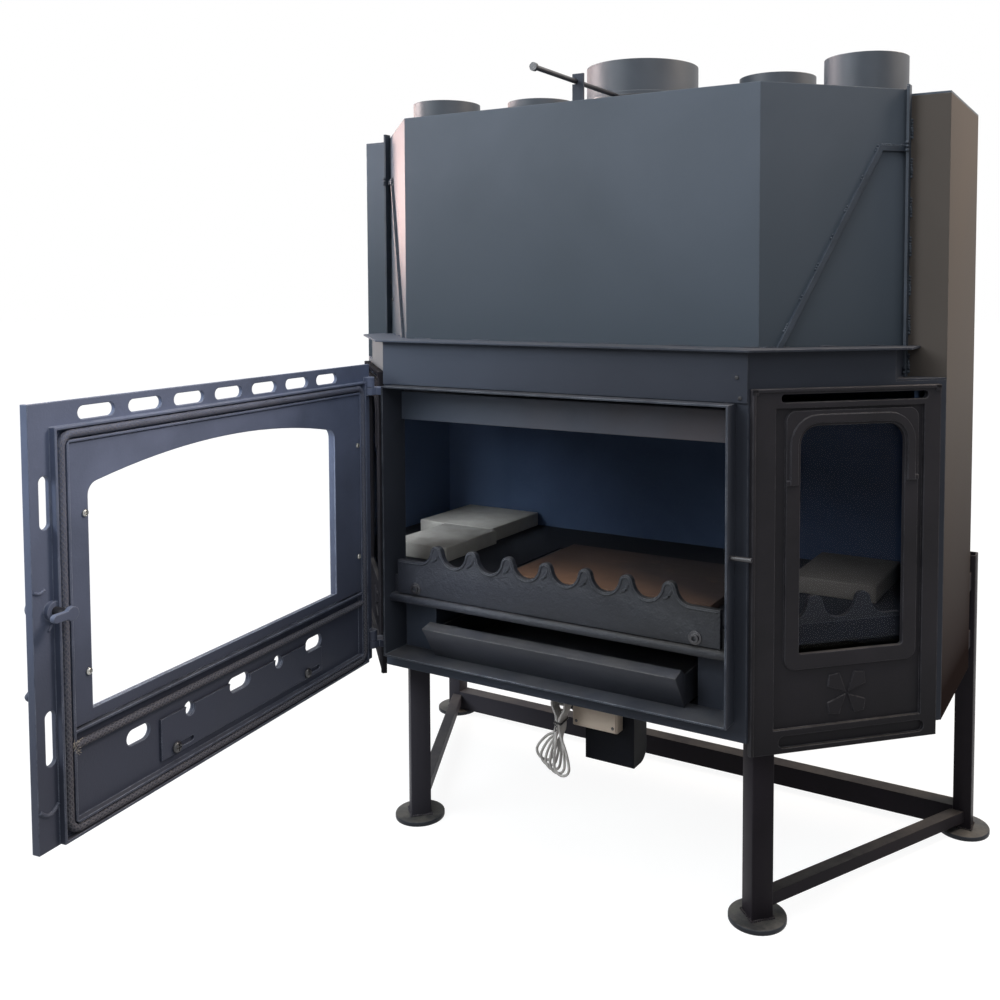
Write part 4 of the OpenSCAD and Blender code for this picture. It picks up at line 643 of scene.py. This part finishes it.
def plastic_material(name, dark, light, rub_and_highlight, rough, grain=900.0, cloud=20.0, specular=0.35):
    material, t, shader, coords = new_material(name)
    skin = use_group(t, PAINT_GRAIN, Grain_Scale=grain, Cloud_Scale=cloud).outputs
    edge = use_group(t, EDGE_RUB_AND_HIGHLIGHT, Reach=0.0008, Amount=0.35).outputs
    tone = t.mix(edge["Rub And Highlight"], t.mix(skin["Cloud"], dark, light), rub_and_highlight)
    tone = t.mix(use_group(t, DUST, Amount=0.2).outputs["Dust"], tone, "#9a948a")
    t.bump(shader, skin["Grain"], 0.08, 0.0002, Normal=edge["Normal"])
    t.fill(shader, Base_Color=tone, Roughness=t.span(skin["Cloud"], 0.0, 1.0, *rough),
           Specular_IOR_Level=specular)
    return material


def rope_material():
    material, t, shader, coords = new_material("rope_fibre")
    weave = use_group(t, BRAID, Strands=6.0, Pitch=150.0).outputs
    tone = t.mix(t.span(t.noise(coords, 18, 4, 0.6), 0.3, 0.7), "#585f74", "#697188")
    # Darker lower down: painted shade.
    tone = t.stain(tone, "#3a3941", t.parts(coords)["Z"], 0.42, 0.7, 0.9, 0.0)
    tone = t.mix(t.times(weave["Yarn"], 0.5), tone, "#72737c")
    tone = t.stain(tone, "#aca8a1", weave["Fuzz"], 0.56, 0.72, 0.0, 0.75)
    t.bump(shader, t.calc("ADD", weave["Yarn"], t.times(weave["Fuzz"], 0.5)), 0.5, 0.0006)
    t.fill(shader, Base_Color=tone, Roughness=t.span(weave["Fuzz"], 0.2, 0.8, 0.8, 0.95),
           Specular_IOR_Level=0.1)
    return material


FIRECLAY, BOARD, ROPE = fireclay_material(), board_material(), rope_material()
DOOR_GLASS = glass_material("door_glass_clear", "#ffffff", "#fbfdff")
WINDOW_GLASS = glass_material("window_glass_smoked", "#c3c5cc", "#aeb1ba")
PALE_RUB, DARK_RUB = "#d9d2c8", "#5a5a5c"
BLACK_PLASTIC = plastic_material("black_plastic", "#0c0d11", "#15161b", DARK_RUB, (0.45, 0.6), specular=0.05)
BEIGE_PLASTIC = plastic_material("beige_plastic", "#c2b09e", "#d8c8b7", PALE_RUB, (0.42, 0.55))
LEAD_SHEATH = plastic_material("lead_sheath", "#aaa5a1", "#c9c4bf", PALE_RUB, (0.36, 0.5), cloud=35.0)
FRAYED_YARN = plastic_material("frayed_yarn", "#8f8b86", "#c2bdb6", PALE_RUB, (0.8, 0.92), specular=0.1)
TIE_WRAP = plastic_material("tie_wrap", "#141415", "#26262a", DARK_RUB, (0.35, 0.5), cloud=60.0)


# ---------------------------------------------------------------- CAD nodes take their finish

FINISHES = {
    HOOD_PAINT: ["hood_shell", "top_plate", "side_panel_left"],
    BAR_PAINT: ["hood_bars"],
    CASING_PAINT: ["front_frame", "shelf_flange", "angled_panel_right", "back_panel",
                   "bottom_plate", "corner_closures", "damper_guide", "ash_bay_sides"],
    SIDE_PAINT: ["side_panel_right"],
    ANGLED_PAINT: ["angled_panel_left"],
    DULL_WINDOW_PAINT: ["window_frame_left"],
    STAND_PAINT: ["front_legs", "rear_legs", "braces"],
    FOOT_PAINT: ["foot_plates"],
    COLLAR_PAINT: ["door_collar"],
    FLUE_PAINT: ["flue_collar", "outlets_left", "outlets_right"],
    CAST_PAINT: ["door_frame", "glass_retainer", "air_slide",
                 "hinge_brackets", "latch_finger", "door_handle"],
    WINDOW_PAINT: ["window_frame_right"],
    FENCE_PAINT: ["log_fence", "side_fences", "hearth_apron", "grate"],
    WALL_SOOT_AND_PAINTED_LIGHT: ["chamber_walls"],
    SOOT: ["chamber_floor", "chamber_top", "baffle_plate", "hearth_floor", "smoke_pipe"],
    HEATED_PLATE: ["inner_lintel"],
    DRAWER_PAINT: ["ash_drawer_tray", "ash_drawer_front"],
    BARE_STEEL: ["door_screws", "blower_motor"],
    DARK_STEEL: ["latch_spindle", "damper_gate", "latch_keeper"],
    DOOR_GLASS: ["door_glass"],
    WINDOW_GLASS: ["window_panes"],
    FIRECLAY: ["clay_slabs"],
    BOARD: ["hearth_board"],
    ROPE: ["door_ropes"],
    BLACK_PLASTIC: ["blower_housing", "blower_wheel", "lead_glands"],
    BEIGE_PLASTIC: ["control_box"],
    LEAD_SHEATH: ["lead_hank", "blower_lead"],
    TIE_WRAP: ["lead_tie"],
}
FINISH_OF = {name: finish for finish, names in FINISHES.items() for name in names}
for name in NODES:
    NODES[name].data.materials.clear()
    NODES[name].data.materials.append(FINISH_OF[name])
for name in ("door_glass", "window_panes"):
    NODES[name].visible_shadow = False


# ---------------------------------------------------------------- softened castings and folded sheets

SAME_POINT, FLAT_ANGLE, EDGE_ANGLE = 0.00002, math.radians(0.6), math.radians(40)


def soften(node, width):
    """A CAD node's shape with its sharp edges broken, as cast, ground or folded metal has them."""
    name = node + "_softened"
    mesh = NODES[node].data.copy()
    mesh.name = name
    piece = bpy.data.objects.new(name, mesh)
    bpy.context.scene.collection.objects.link(piece)
    edit_all(piece)
    bpy.ops.mesh.remove_doubles(threshold=SAME_POINT)
    bpy.ops.mesh.dissolve_limited(angle_limit=FLAT_ANGLE)
    bpy.ops.mesh.normals_make_consistent(inside=False)
    end_edit()
    apply_modifier(piece, "BEVEL", width=width / 1000, segments=2, limit_method="ANGLE",
                   angle_limit=EDGE_ANGLE, use_clamp_overlap=True, miter_outer="MITER_ARC")
    return finish_piece(piece, BODY_OF[node], FINISH_OF[node], [node])


SOFTENED = {
    "log_fence": 1.4, "side_fences": 1.2, "hearth_apron": 0.8, "clay_slabs": 1.6, "hearth_board": 0.8,
    "foot_plates": 1.4, "front_legs": 1.6, "rear_legs": 1.4, "control_box": 0.8, "ash_drawer_front": 0.8,
}
for node, width in SOFTENED.items():
    soften(node, width)


# ---------------------------------------------------------------- the lead's tie and the door's rope seals

finish_piece(mains_lead, "casing", LEAD_SHEATH, ["lead_hank", "blower_lead"])


TIE_STEPS, TIE_CLEAR, TIE_WAVE, TIE_WIDE = 64, 1.6, 0.8, 2.0
TWIST_STEPS, TWIST_TURNS, TWIST_X, TWIST_Y, TWIST_FALL = 30, 2.5, 1.1, 0.8, 13


def tie_ring():
    """A flat band of wire tie round the hank's waist, twisted at the front."""
    w = WAIST_X + LEAD_D / 2 + TIE_CLEAR
    y0 = FACE_Y + HANK_Y - LEAD_D / 2 - TIE_CLEAR
    y1 = FACE_Y + HANK_Y + LAYER * LOOPS + LEAD_D / 2 + TIE_CLEAR / 2
    cy, half = (y0 + y1) / 2, (y1 - y0) / 2
    rows = []
    for i in range(TIE_STEPS):
        a = 2 * math.pi * i / TIE_STEPS
        c, s = math.cos(a), math.sin(a)
        x = math.copysign(abs(c) ** 0.5, c) * w
        y = math.copysign(abs(s) ** 0.5, s) * half
        rows.append(mm(HANK_X + x, cy + y, WAIST_Z + TIE_WAVE * math.sin(3 * a)))
    band = tube("tie_band", rows, 0.0009, 8, closed=True, up=(0, 0, 1))
    band.data.transform(Matrix.Translation((0, 0, WAIST_Z / 1000)) @ Matrix.Scale(TIE_WIDE, 4, (0, 0, 1))
                        @ Matrix.Translation((0, 0, -WAIST_Z / 1000)))
    twist = []
    for i in range(TWIST_STEPS):
        f = i / (TWIST_STEPS - 1)
        a = f * TWIST_TURNS * 2 * math.pi
        twist.append(mm(HANK_X + TWIST_X * math.cos(a), y0 - 0.4 - 2 * f + TWIST_Y * math.sin(a),
                        WAIST_Z + 1 - TWIST_FALL * f))
    tail = tube("tie_tail", twist, 0.0008, 8)
    return join("lead_tie_wrap", [band, tail])


lead_wrap = finish_piece(tie_ring(), "casing", TIE_WRAP, ["lead_tie"])


def corner_run(x0, z0, x1, z1, bend, y, step):
    """Points round a rectangle with round corners, in the door's frame."""
    left, low, right, high = x0 + bend, z0 + bend, x1 - bend, z1 - bend
    centres = [Vector((x, y, z)) for x, z in ((left, low), (right, low), (right, high), (left, high))]

    def rim(degrees):
        return Vector((bend * math.cos(math.radians(degrees)), 0, bend * math.sin(math.radians(degrees))))

    points = []
    for i, (last, centre) in enumerate(zip(centres, centres[1:] + centres[:1])):
        turn = 90 * i - 90
        a, b = last + rim(turn), centre + rim(turn)
        n = max(2, int((b - a).length / step))
        points += [a + (b - a) * k / n for k in range(n)]
        n = max(6, int(bend * math.pi / 2 / step))
        points += [centre + rim(turn + 90 * k / n) for k in range(n)]
    return points


STRANDS, STRAND_TWIST = 6, 820


def braid_relief(a, v):
    """The yarns of the braid stand a little out of the rope."""
    one, two = math.sin(STRANDS * a + STRAND_TWIST * v), math.sin(STRANDS * a - STRAND_TWIST * v)
    return 0.965 + 0.035 * max(one, two) + 0.012 * math.sin(41 * v)


ROPE_R, ROPE_Y, ROPE_BEND, ROPE_STEP = 5, -0.3, 15, 1.6
ROPE_LEFT, ROPE_LOW, ROPE_RIGHT, ROPE_HIGH, CROSS_Z = 31.5, 328.5, 642.5, 783.5, 425
CROSS_LEFT, CROSS_RIGHT, CROSS_STEPS = 40, 634, 270
seal_points = [DOOR @ (p / 1000) for p in corner_run(ROPE_LEFT, ROPE_LOW, ROPE_RIGHT, ROPE_HIGH, ROPE_BEND,
                                                     ROPE_Y, ROPE_STEP)]
rope_seal = tube("door_rope_seal", seal_points, ROPE_R / 1000, 14, braid_relief, closed=True,
                 up=(0.3, 0.8, 0.1))
cross_points = [DOOR @ mm(CROSS_LEFT + (CROSS_RIGHT - CROSS_LEFT) * i / CROSS_STEPS, ROPE_Y, CROSS_Z)
                for i in range(CROSS_STEPS + 1)]
cross_seal = tube("cross_rope_seal", cross_points, ROPE_R / 1000, 14, braid_relief)
finish_piece(rope_seal, "door", ROPE, ["door_ropes"], 60)
finish_piece(cross_seal, "door", ROPE, (), 60)


# ---------------------------------------------------------------- weld beads

RIPPLE_PITCH, RIPPLE_SHAPE, LUMPINESS, LUMP_SIZE = 1.5, (1.0, 0.86, 0.9), 1.3, 0.006


def weld_bead(name, a, b, radius):
    """Overlapping ripples of weld along a line."""
    a, b = mm(*a), mm(*b)
    way = b - a
    pitch = radius * RIPPLE_PITCH / 1000
    count = max(2, int(way.length / pitch))
    bead = sphere(name, 10, 6, radius / 1000)
    edit_all(bead)
    bpy.ops.transform.resize(value=RIPPLE_SHAPE)
    end_edit()
    apply_modifier(bead, "ARRAY", count=count, use_relative_offset=False, use_constant_offset=True,
                   constant_offset_displace=(0, 0, way.length / count))
    lumps = bpy.data.textures.new(name, "CLOUDS")
    lumps.noise_scale = LUMP_SIZE
    apply_modifier(bead, "DISPLACE", texture=lumps, strength=radius * LUMPINESS / 1000, mid_level=0.5,
                   texture_coords="LOCAL")
    return place(bead, Matrix.Translation(a) @ way.to_track_quat("Z", "Y").to_matrix().to_4x4())


def beads(name, runs, radius, material):
    made = [weld_bead(f"{name}_{i}", a, b, radius) for i, (a, b) in enumerate(runs)]
    return finish_piece(join(name, made), "casing", material)


def on_hood(s, z, side, y=-1.0):
    """A point on the hood's right slanted face, s along it, or its mirror image on the left one."""
    p = HOOD_RIGHT @ mm(s, y, z)
    return (side * p.x * 1000, p.y * 1000, p.z * 1000)


SIDES = (-1, 1)
HOOD_LOW, HOOD_HIGH, SEAM_PITCH = 822, 1228, 58
OUTER_EDGE, INNER_EDGE, FRONT_EDGE = (494.6, -110.6), (489.4, -111.2), (492, -127.5)


def seam_run(side, edge, z0, z1):
    """A run up one edge of a seam bar."""
    return (side * edge[0], edge[1], z0), (side * edge[0], edge[1], z1)


seam_runs = []
for side in SIDES:
    for z in range(HOOD_LOW, HOOD_HIGH, SEAM_PITCH):
        seam_runs.append(seam_run(side, OUTER_EDGE, z, z + 30))
        seam_runs.append(seam_run(side, INNER_EDGE, z + 22, z + 50))
    for z0, z1 in ((HOOD_LOW, 834), (1150, 1166)):
        seam_runs.append(seam_run(side, FRONT_EDGE, z0, z1))
beads("seam_welds", seam_runs, 2.8, BAR_PAINT)

BAR_KNEE, BAR_FOOT, BAR_WIDTH, BAR_RUNS = Vector((190.4, 1157)), Vector((23, 853)), 8, 14
BAR_REST, BAR_REST_Z = (196, 236), 1158
stiff_runs = []
for side in SIDES:
    stiff_runs.append(tuple(on_hood(s, BAR_REST_Z, side) for s in BAR_REST))
    way = BAR_FOOT - BAR_KNEE
    out = Vector((-way.y, way.x)).normalized()
    for i in range(BAR_RUNS):
        edge = BAR_WIDTH + 0.4 if i % 2 else -0.4
        p = BAR_KNEE + way * (i + random.uniform(0.0, 0.3)) / BAR_RUNS + out * edge
        q = p + way.normalized() * random.uniform(7, 17)
        stiff_runs.append((on_hood(p.x, p.y, side), on_hood(q.x, q.y, side)))
beads("stiffener_welds", stiff_runs, 2.3, BAR_PAINT)


def round_corners(x, y, corners, z):
    """A run along each side of a leg, whose corners are given round its middle."""
    ends = zip(corners, corners[1:] + corners[:1])
    return [((x + a[0], y + a[1], z), (x + b[0], y + b[1], z)) for a, b in ends]


FRONT_LEG, FRONT_CORNERS = (317, -257), [(0, -25.5), (25.5, 0), (0, 25.5), (-25.5, 0)]
REAR_LEG, REAR_CORNERS = (541, 173), [(-15, -15), (15, -15), (15, 15), (-15, 15)]
FOOT_TOP, BODY_UNDER = 8.6, 298.8
leg_runs = []
for side in SIDES:
    for low, high in zip(round_corners(side * FRONT_LEG[0], FRONT_LEG[1], FRONT_CORNERS, FOOT_TOP),
                         round_corners(side * FRONT_LEG[0], FRONT_LEG[1], FRONT_CORNERS, BODY_UNDER)):
        leg_runs += [low, high]
    leg_runs += round_corners(side * REAR_LEG[0], REAR_LEG[1], REAR_CORNERS, FOOT_TOP)
beads("leg_welds", leg_runs, 2.4, STAND_PAINT)

SHELF_TOP, SHELF_Y, SHELF_OUT = 861.6, -280.6, -0.6
shelf_runs = [((x, SHELF_Y, SHELF_TOP), (x + 34, SHELF_Y, SHELF_TOP)) for x in range(-300, 301, 120)]
for side in SIDES:
    for s in (20, 98, 176):
        shelf_runs.append((on_hood(s, SHELF_TOP, side, SHELF_OUT), on_hood(s + 30, SHELF_TOP, side, SHELF_OUT)))
beads("shelf_welds", shelf_runs, 1.6, CASING_PAINT)


# ---------------------------------------------------------------- the log fence's raised rim and marks

FENCE_Y, FENCE_END, TEETH, PITCH = -347, 286, 7, 70
TIP_R, TIP_Z, VALLEY_Z = 11, 510, 490
VALLEY_R = PITCH / 2 - TIP_R
RIM_R, RIM_INSET, LEAST_STEP = 1.5, 3.4, 1.2


def wave(x, z, radius, angles):
    return [Vector((x + radius * math.cos(math.radians(a)), FENCE_Y, z + radius * math.sin(math.radians(a))))
            for a in angles]


def fence_rim():
    """A half-round rim that follows the waves, just under their edge."""
    flat_z = VALLEY_Z - RIM_INSET
    first = -(TEETH - 1) / 2 * PITCH
    start_x = first - PITCH / 2 - 4
    points = [Vector((-FENCE_END, FENCE_Y, flat_z)), Vector((start_x, FENCE_Y, flat_z))]
    for i in range(TEETH):
        x = first + i * PITCH
        points += wave(x - PITCH / 2, VALLEY_Z + VALLEY_R, VALLEY_R + RIM_INSET, range(270, 346, 15))
        points += wave(x, TIP_Z, TIP_R - RIM_INSET, range(165, 14, -15))
        points += wave(x + PITCH / 2, VALLEY_Z + VALLEY_R, VALLEY_R + RIM_INSET, range(195, 271, 15))
    points += [Vector((-start_x, FENCE_Y, flat_z)), Vector((FENCE_END, FENCE_Y, flat_z))]
    kept = [points[0]]
    for p in points[1:]:
        if (p - kept[-1]).length > LEAST_STEP:
            kept.append(p)
    rim = tube("fence_rim", [p / 1000 for p in kept], RIM_R / 1000, 8, up=(0, 1, 0.05))
    return finish_piece(rim, "casing", FENCE_PAINT)


LEAF_R, LEAF_THICK, LEAVES = 0.0055, 0.0012, ((2.2, 503, 24), (-2.6, 497, 62))


def tooth_marks():
    """Two small leaves raised on each tooth of the fence."""
    leaf = cylinder("leaf", 12, LEAF_R, LEAF_THICK, turn=(math.pi / 2, 0, 0))
    edit_all(leaf)
    bpy.ops.transform.resize(value=(0.42, 1, 1.25))
    end_edit()
    break_edges(leaf, 0.0004)
    places = []
    for i in range(TEETH):
        for x, z, turn in LEAVES:
            spot = Matrix.Translation(mm((i - (TEETH - 1) / 2) * PITCH + x, FENCE_Y - 0.2, z))
            places.append(spot @ Matrix.Rotation(math.radians(turn), 4, "Y"))
    return finish_piece(join("fence_tooth_marks", copies(leaf, places)), "casing", FENCE_PAINT)


fence_rim()
tooth_marks()


# ---------------------------------------------------------------- bolts and screws

def socket_head(radius, height):
    """A round head with a hexagon socket, on a washer."""
    head = cylinder("head", 32, radius, height, (0, 0, height / 2))
    break_edges(head, radius * 0.12)
    cut_out(head, cylinder("cut", 6, radius * 0.56, height, (0, 0, height * 1.05)))
    washer = cylinder("washer", 28, radius * 1.5, height * 0.3, (0, 0, height * 0.15))
    break_edges(washer, height * 0.06)
    return join("head", [head, washer])


def cross_head(radius, height):
    """A domed head with a cross recess."""
    head = sphere("head", 24, 12, radius)
    edit_all(head)
    bpy.ops.mesh.bisect(plane_co=(0, 0, 0), plane_no=(0, 0, 1), clear_inner=True, use_fill=True)
    bpy.ops.mesh.select_all(action="SELECT")
    bpy.ops.transform.resize(value=(1, 1, height / radius))
    end_edit()
    for turn in (0, math.pi / 2):
        cut_out(head, block("cut", (0, 0, height), (radius * 1.2, radius * 0.24, height * 0.9), turn))
    return head


def heads(name, head, places, body="casing", material=DARK_STEEL):
    return finish_piece(join(name, copies(head, places)), body, material)


FORWARD = Matrix.Rotation(math.pi / 2, 4, "X")
INWARD = Matrix.Rotation(-math.pi / 2, 4, "X")
ON_LEFT_STRIP = Matrix.Rotation(-SLANT, 4, "Z") @ FORWARD
BAND_Y, FENCE_BOLT_X, FENCE_BOLT_Z, SLIDE_BOLT_Z = -338, 252, 445, 357

heads("fence_bolt_heads", socket_head(0.0068, 0.0062),
      [Matrix.Translation(mm(side * FENCE_BOLT_X, FENCE_Y, FENCE_BOLT_Z)) @ FORWARD for side in SIDES])
heads("retainer_screw_heads", cross_head(0.0043, 0.0024),
      [DOOR @ Matrix.Translation(mm(e, 0.5, z)) @ INWARD for e in (47, 611) for z in (505, 690)],
      "door", BARE_STEEL)
heads("slide_bolt_heads", cross_head(0.0076, 0.0042),
      [DOOR @ Matrix.Translation(mm(e, -1.9, SLIDE_BOLT_Z)) @ INWARD for e in (189, 471)], "door")
heads("band_screws", cross_head(0.003, 0.0018),
      [Matrix.Translation(mm(x, BAND_Y, z)) @ FORWARD for x, z in ((309, 822), (314, 793))])
heads("hood_strip_screws", cross_head(0.0032, 0.0022),
      [Matrix.Translation(mm(x - 0.1, y - 0.1, z)) @ ON_LEFT_STRIP
       for x, y, z in ((-446, -154, 1145), (-487, -113, 960), (-468, -132, 927))])


# ---------------------------------------------------------------- steps, rims and the rope's loose end

def cast_step(name, e0, e1, z, sag, radius, y=-5.2, count=24):
    """A curved step of the casting across the strip at the door's free edge."""
    points = []
    for i in range(count + 1):
        f = i / count
        points.append(DOOR @ mm(e0 + (e1 - e0) * f, y, z - sag * math.sin(math.pi * f)))
    return tube(name, points, radius / 1000, 10)


steps = [cast_step("step_low", 653, 678.5, 367, 8, 2.4), cast_step("step_high", 664, 678.5, 614, 3, 1.8),
         cast_step("step_latch", 641, 660, 566, -8, 1.6)]
finish_piece(join("casting_steps", steps), "door", CAST_PAINT)


RIM_BARS = ((3, 304, 801, 806), (3, 8, 284, 803), (3, 12, 797, 806), (295, 304, 797, 806))
RIM_Y, RIM_DEPTH, RIM_EDGE = -8.6, 0.0024, 0.0007


def frame_rim(name, side, material):
    """The raised rim along the top and the front edge of a side window's frame, with a lug at each end."""
    bars = []
    for s0, s1, z0, z1 in RIM_BARS:
        centre = mm((s0 + s1) / 2, RIM_Y, (z0 + z1) / 2)
        bar = block("bar", centre, ((s1 - s0) / 1000, RIM_DEPTH, (z1 - z0) / 1000))
        break_edges(bar, RIM_EDGE, 3)
        bars.append(bar)
    rim = place(join(name, bars), ANGLED_RIGHT)
    if side < 0:
        pick(rim)
        bpy.ops.transform.mirror(orient_type="GLOBAL", constraint_axis=(True, False, False),
                                 center_override=(0, 0, 0))
        settle()
        face_outward(rim)
    return finish_piece(rim, "casing", material)


frame_rim("window_rim_right", 1, WINDOW_PAINT)
frame_rim("window_rim_left", -1, DULL_WINDOW_PAINT)

TUFT_E, TUFT_LOW, TUFT_TOP, YARN_R = 636, 2.4, 4.0, 0.0003


def rope_tuft(yarn_count=34):
    """Frayed yarns where the cross rope meets the rope round the door."""
    yarns = []
    for i in range(yarn_count):
        base = Vector((TUFT_E + random.uniform(-3, 2), TUFT_LOW, CROSS_Z + random.uniform(-6, 6)))
        lean = Vector((random.uniform(-1, 0.4), random.uniform(0.1, 0.5), random.uniform(-1, 1))).normalized()
        curl = Vector((random.uniform(-1, 1), 0, random.uniform(-1, 1)))
        reach = random.uniform(3, 7)
        points = []
        for f in (0, 0.25, 0.5, 0.75, 1):
            p = base + lean * reach * f + curl * 2.2 * f * f
            p.y = min(p.y, TUFT_TOP + 0.02 * i * f)
            points.append(DOOR @ (p / 1000))
        yarns.append(tube(f"yarn_{i}", points, YARN_R, 5))
    return finish_piece(join("rope_loose_end", yarns), "door", FRAYED_YARN)


rope_tuft()


# ---------------------------------------------------------------- the control box's screws and lid

BOX_Y = -275
heads("control_box_screws", cross_head(0.0026, 0.0014),
      [Matrix.Translation(mm(x, BOX_Y, z)) @ FORWARD for z in (249, 277) for x in (16, 82)])


LID_AT, LID_SIZE = mm(49, -275.6, 263), mm(76.6, 1.6, 39.6)
LID_BORDER, LID_SINK, LID_EDGE = 0.004, 0.0005, 0.00045


def box_lid():
    """The control box's lid, with a border round its slightly sunk middle."""
    lid = block("control_box_lid", LID_AT, LID_SIZE)
    bpy.ops.object.mode_set(mode="EDIT")
    bpy.ops.mesh.select_all(action="DESELECT")
    end_edit()
    for face in lid.data.polygons:
        face.select = face.normal.y < -0.9
    bpy.ops.object.mode_set(mode="EDIT")
    bpy.ops.mesh.inset(thickness=LID_BORDER)
    bpy.ops.transform.translate(value=(0, LID_SINK, 0))
    end_edit()
    break_edges(lid, LID_EDGE)
    return finish_piece(lid, "casing", BEIGE_PLASTIC)


box_lid()


# ---------------------------------------------------------------- floor, backdrop and lamps

def seen_directly(t):
    """1 for rays from the camera, off a mirror-like face or through glass, and 0 for all other light."""
    rays = t.add("ShaderNodeLightPath")
    both = t.calc("MAXIMUM", rays.outputs["Is Camera Ray"], rays.outputs["Is Glossy Ray"])
    return t.calc("MAXIMUM", both, rays.outputs["Is Transmission Ray"])


FLOOR_SIZE, FLOOR_DARK, FLOOR_LIGHT = 60, (0.16, 0.16, 0.16, 1), (0.2, 0.2, 0.2, 1)
GLOW_NEAR, GLOW_FAR = (1.6, 0.92), (5.0, 1.0)
SKY, SKY_LEVEL, WHITE = (0.86, 0.93, 1.0, 1), 0.2, (1, 1, 1, 1)


def set_floor():
    """A pale floor that keeps the object's shadow, and is white where it is seen further out."""
    deselect()
    bpy.ops.mesh.primitive_plane_add(size=FLOOR_SIZE, location=(0, 0, 0))
    floor = start("studio_floor")
    material, t, shader, coords = new_material("studio_floor")
    t.fill(shader, Base_Color=t.mix(t.noise(coords, 3.0, 4, 0.6), FLOOR_DARK, FLOOR_LIGHT), Roughness=0.95,
           Specular_IOR_Level=0.0)
    far = t.add("ShaderNodeVectorMath", operation="LENGTH")
    t.feed(coords, far.inputs[0])
    level = t.span(far.outputs["Value"], GLOW_NEAR[0], GLOW_FAR[0], GLOW_NEAR[1], GLOW_FAR[1])
    glow = t.fill(t.add("ShaderNodeEmission"), Strength=level)
    both = t.pair(t.add("ShaderNodeAddShader"), shader.outputs[0], glow.outputs[0])[0]
    seen = t.add("ShaderNodeMixShader")
    for i, value in enumerate((seen_directly(t), shader.outputs[0], both)):
        t.feed(value, seen.inputs[i])
    t.feed(seen.outputs[0], material.node_tree.nodes["Material Output"].inputs["Surface"])
    floor.data.materials.append(material)


def set_world():
    """White where it is seen, and a weak cool light on the object."""
    world = bpy.data.worlds.new("studio")
    bpy.context.scene.world = world
    world.use_nodes = True
    t = Tree(world.node_tree)
    seen = seen_directly(t)
    t.fill(world.node_tree.nodes["Background"], Color=t.mix(seen, SKY, WHITE),
           Strength=t.span(seen, 0.0, 1.0, SKY_LEVEL, 1.0))


def lamp(name, place_at, look_at, size, power, colour, spread=180):
    data = bpy.data.lights.new(name, "AREA")
    data.shape = "RECTANGLE"
    data.size, data.size_y = size
    data.energy = power
    data.color = colour
    data.spread = math.radians(spread)
    light = bpy.data.objects.new(name, data)
    light.location = place_at
    light.rotation_euler = (Vector(look_at) - Vector(place_at)).to_track_quat("-Z", "Y").to_euler()
    bpy.context.scene.collection.objects.link(light)


set_floor()
set_world()
lamp("window_lamp", (-2.0, -3.0, 2.7), (0, -0.2, 0.8), (2.6, 2.2), 115, (0.89, 0.95, 1.0))
lamp("top_lamp", (0.1, -0.9, 3.4), (0, -0.1, 1.0), (2.4, 1.8), 48, (1, 1, 1))
lamp("side_lamp", (1.35, 0.5, 2.25), (0.5, 0, 1.0), (0.7, 0.7), 42, (1.0, 0.85, 0.72))
lamp("front_lamp", (1.5, -1.9, 2.1), (-0.3, -0.6, 0.6), (1.0, 1.0), 9, (0.94, 0.96, 1.0))
lamp("back_lamp", (-3.12, 1.07, 1.45), (-0.4, -0.2, 1.42), (0.9, 0.7), 1.05, (1.0, 0.66, 0.58), 24)
lamp("left_lamp", (-2.7, -0.45, 1.75), (-0.2, -0.1, 1.32), (0.8, 0.9), 2.6, (1.0, 0.84, 0.82), 26)

bpy.context.scene.view_settings.view_transform = "Standard"
deselect()
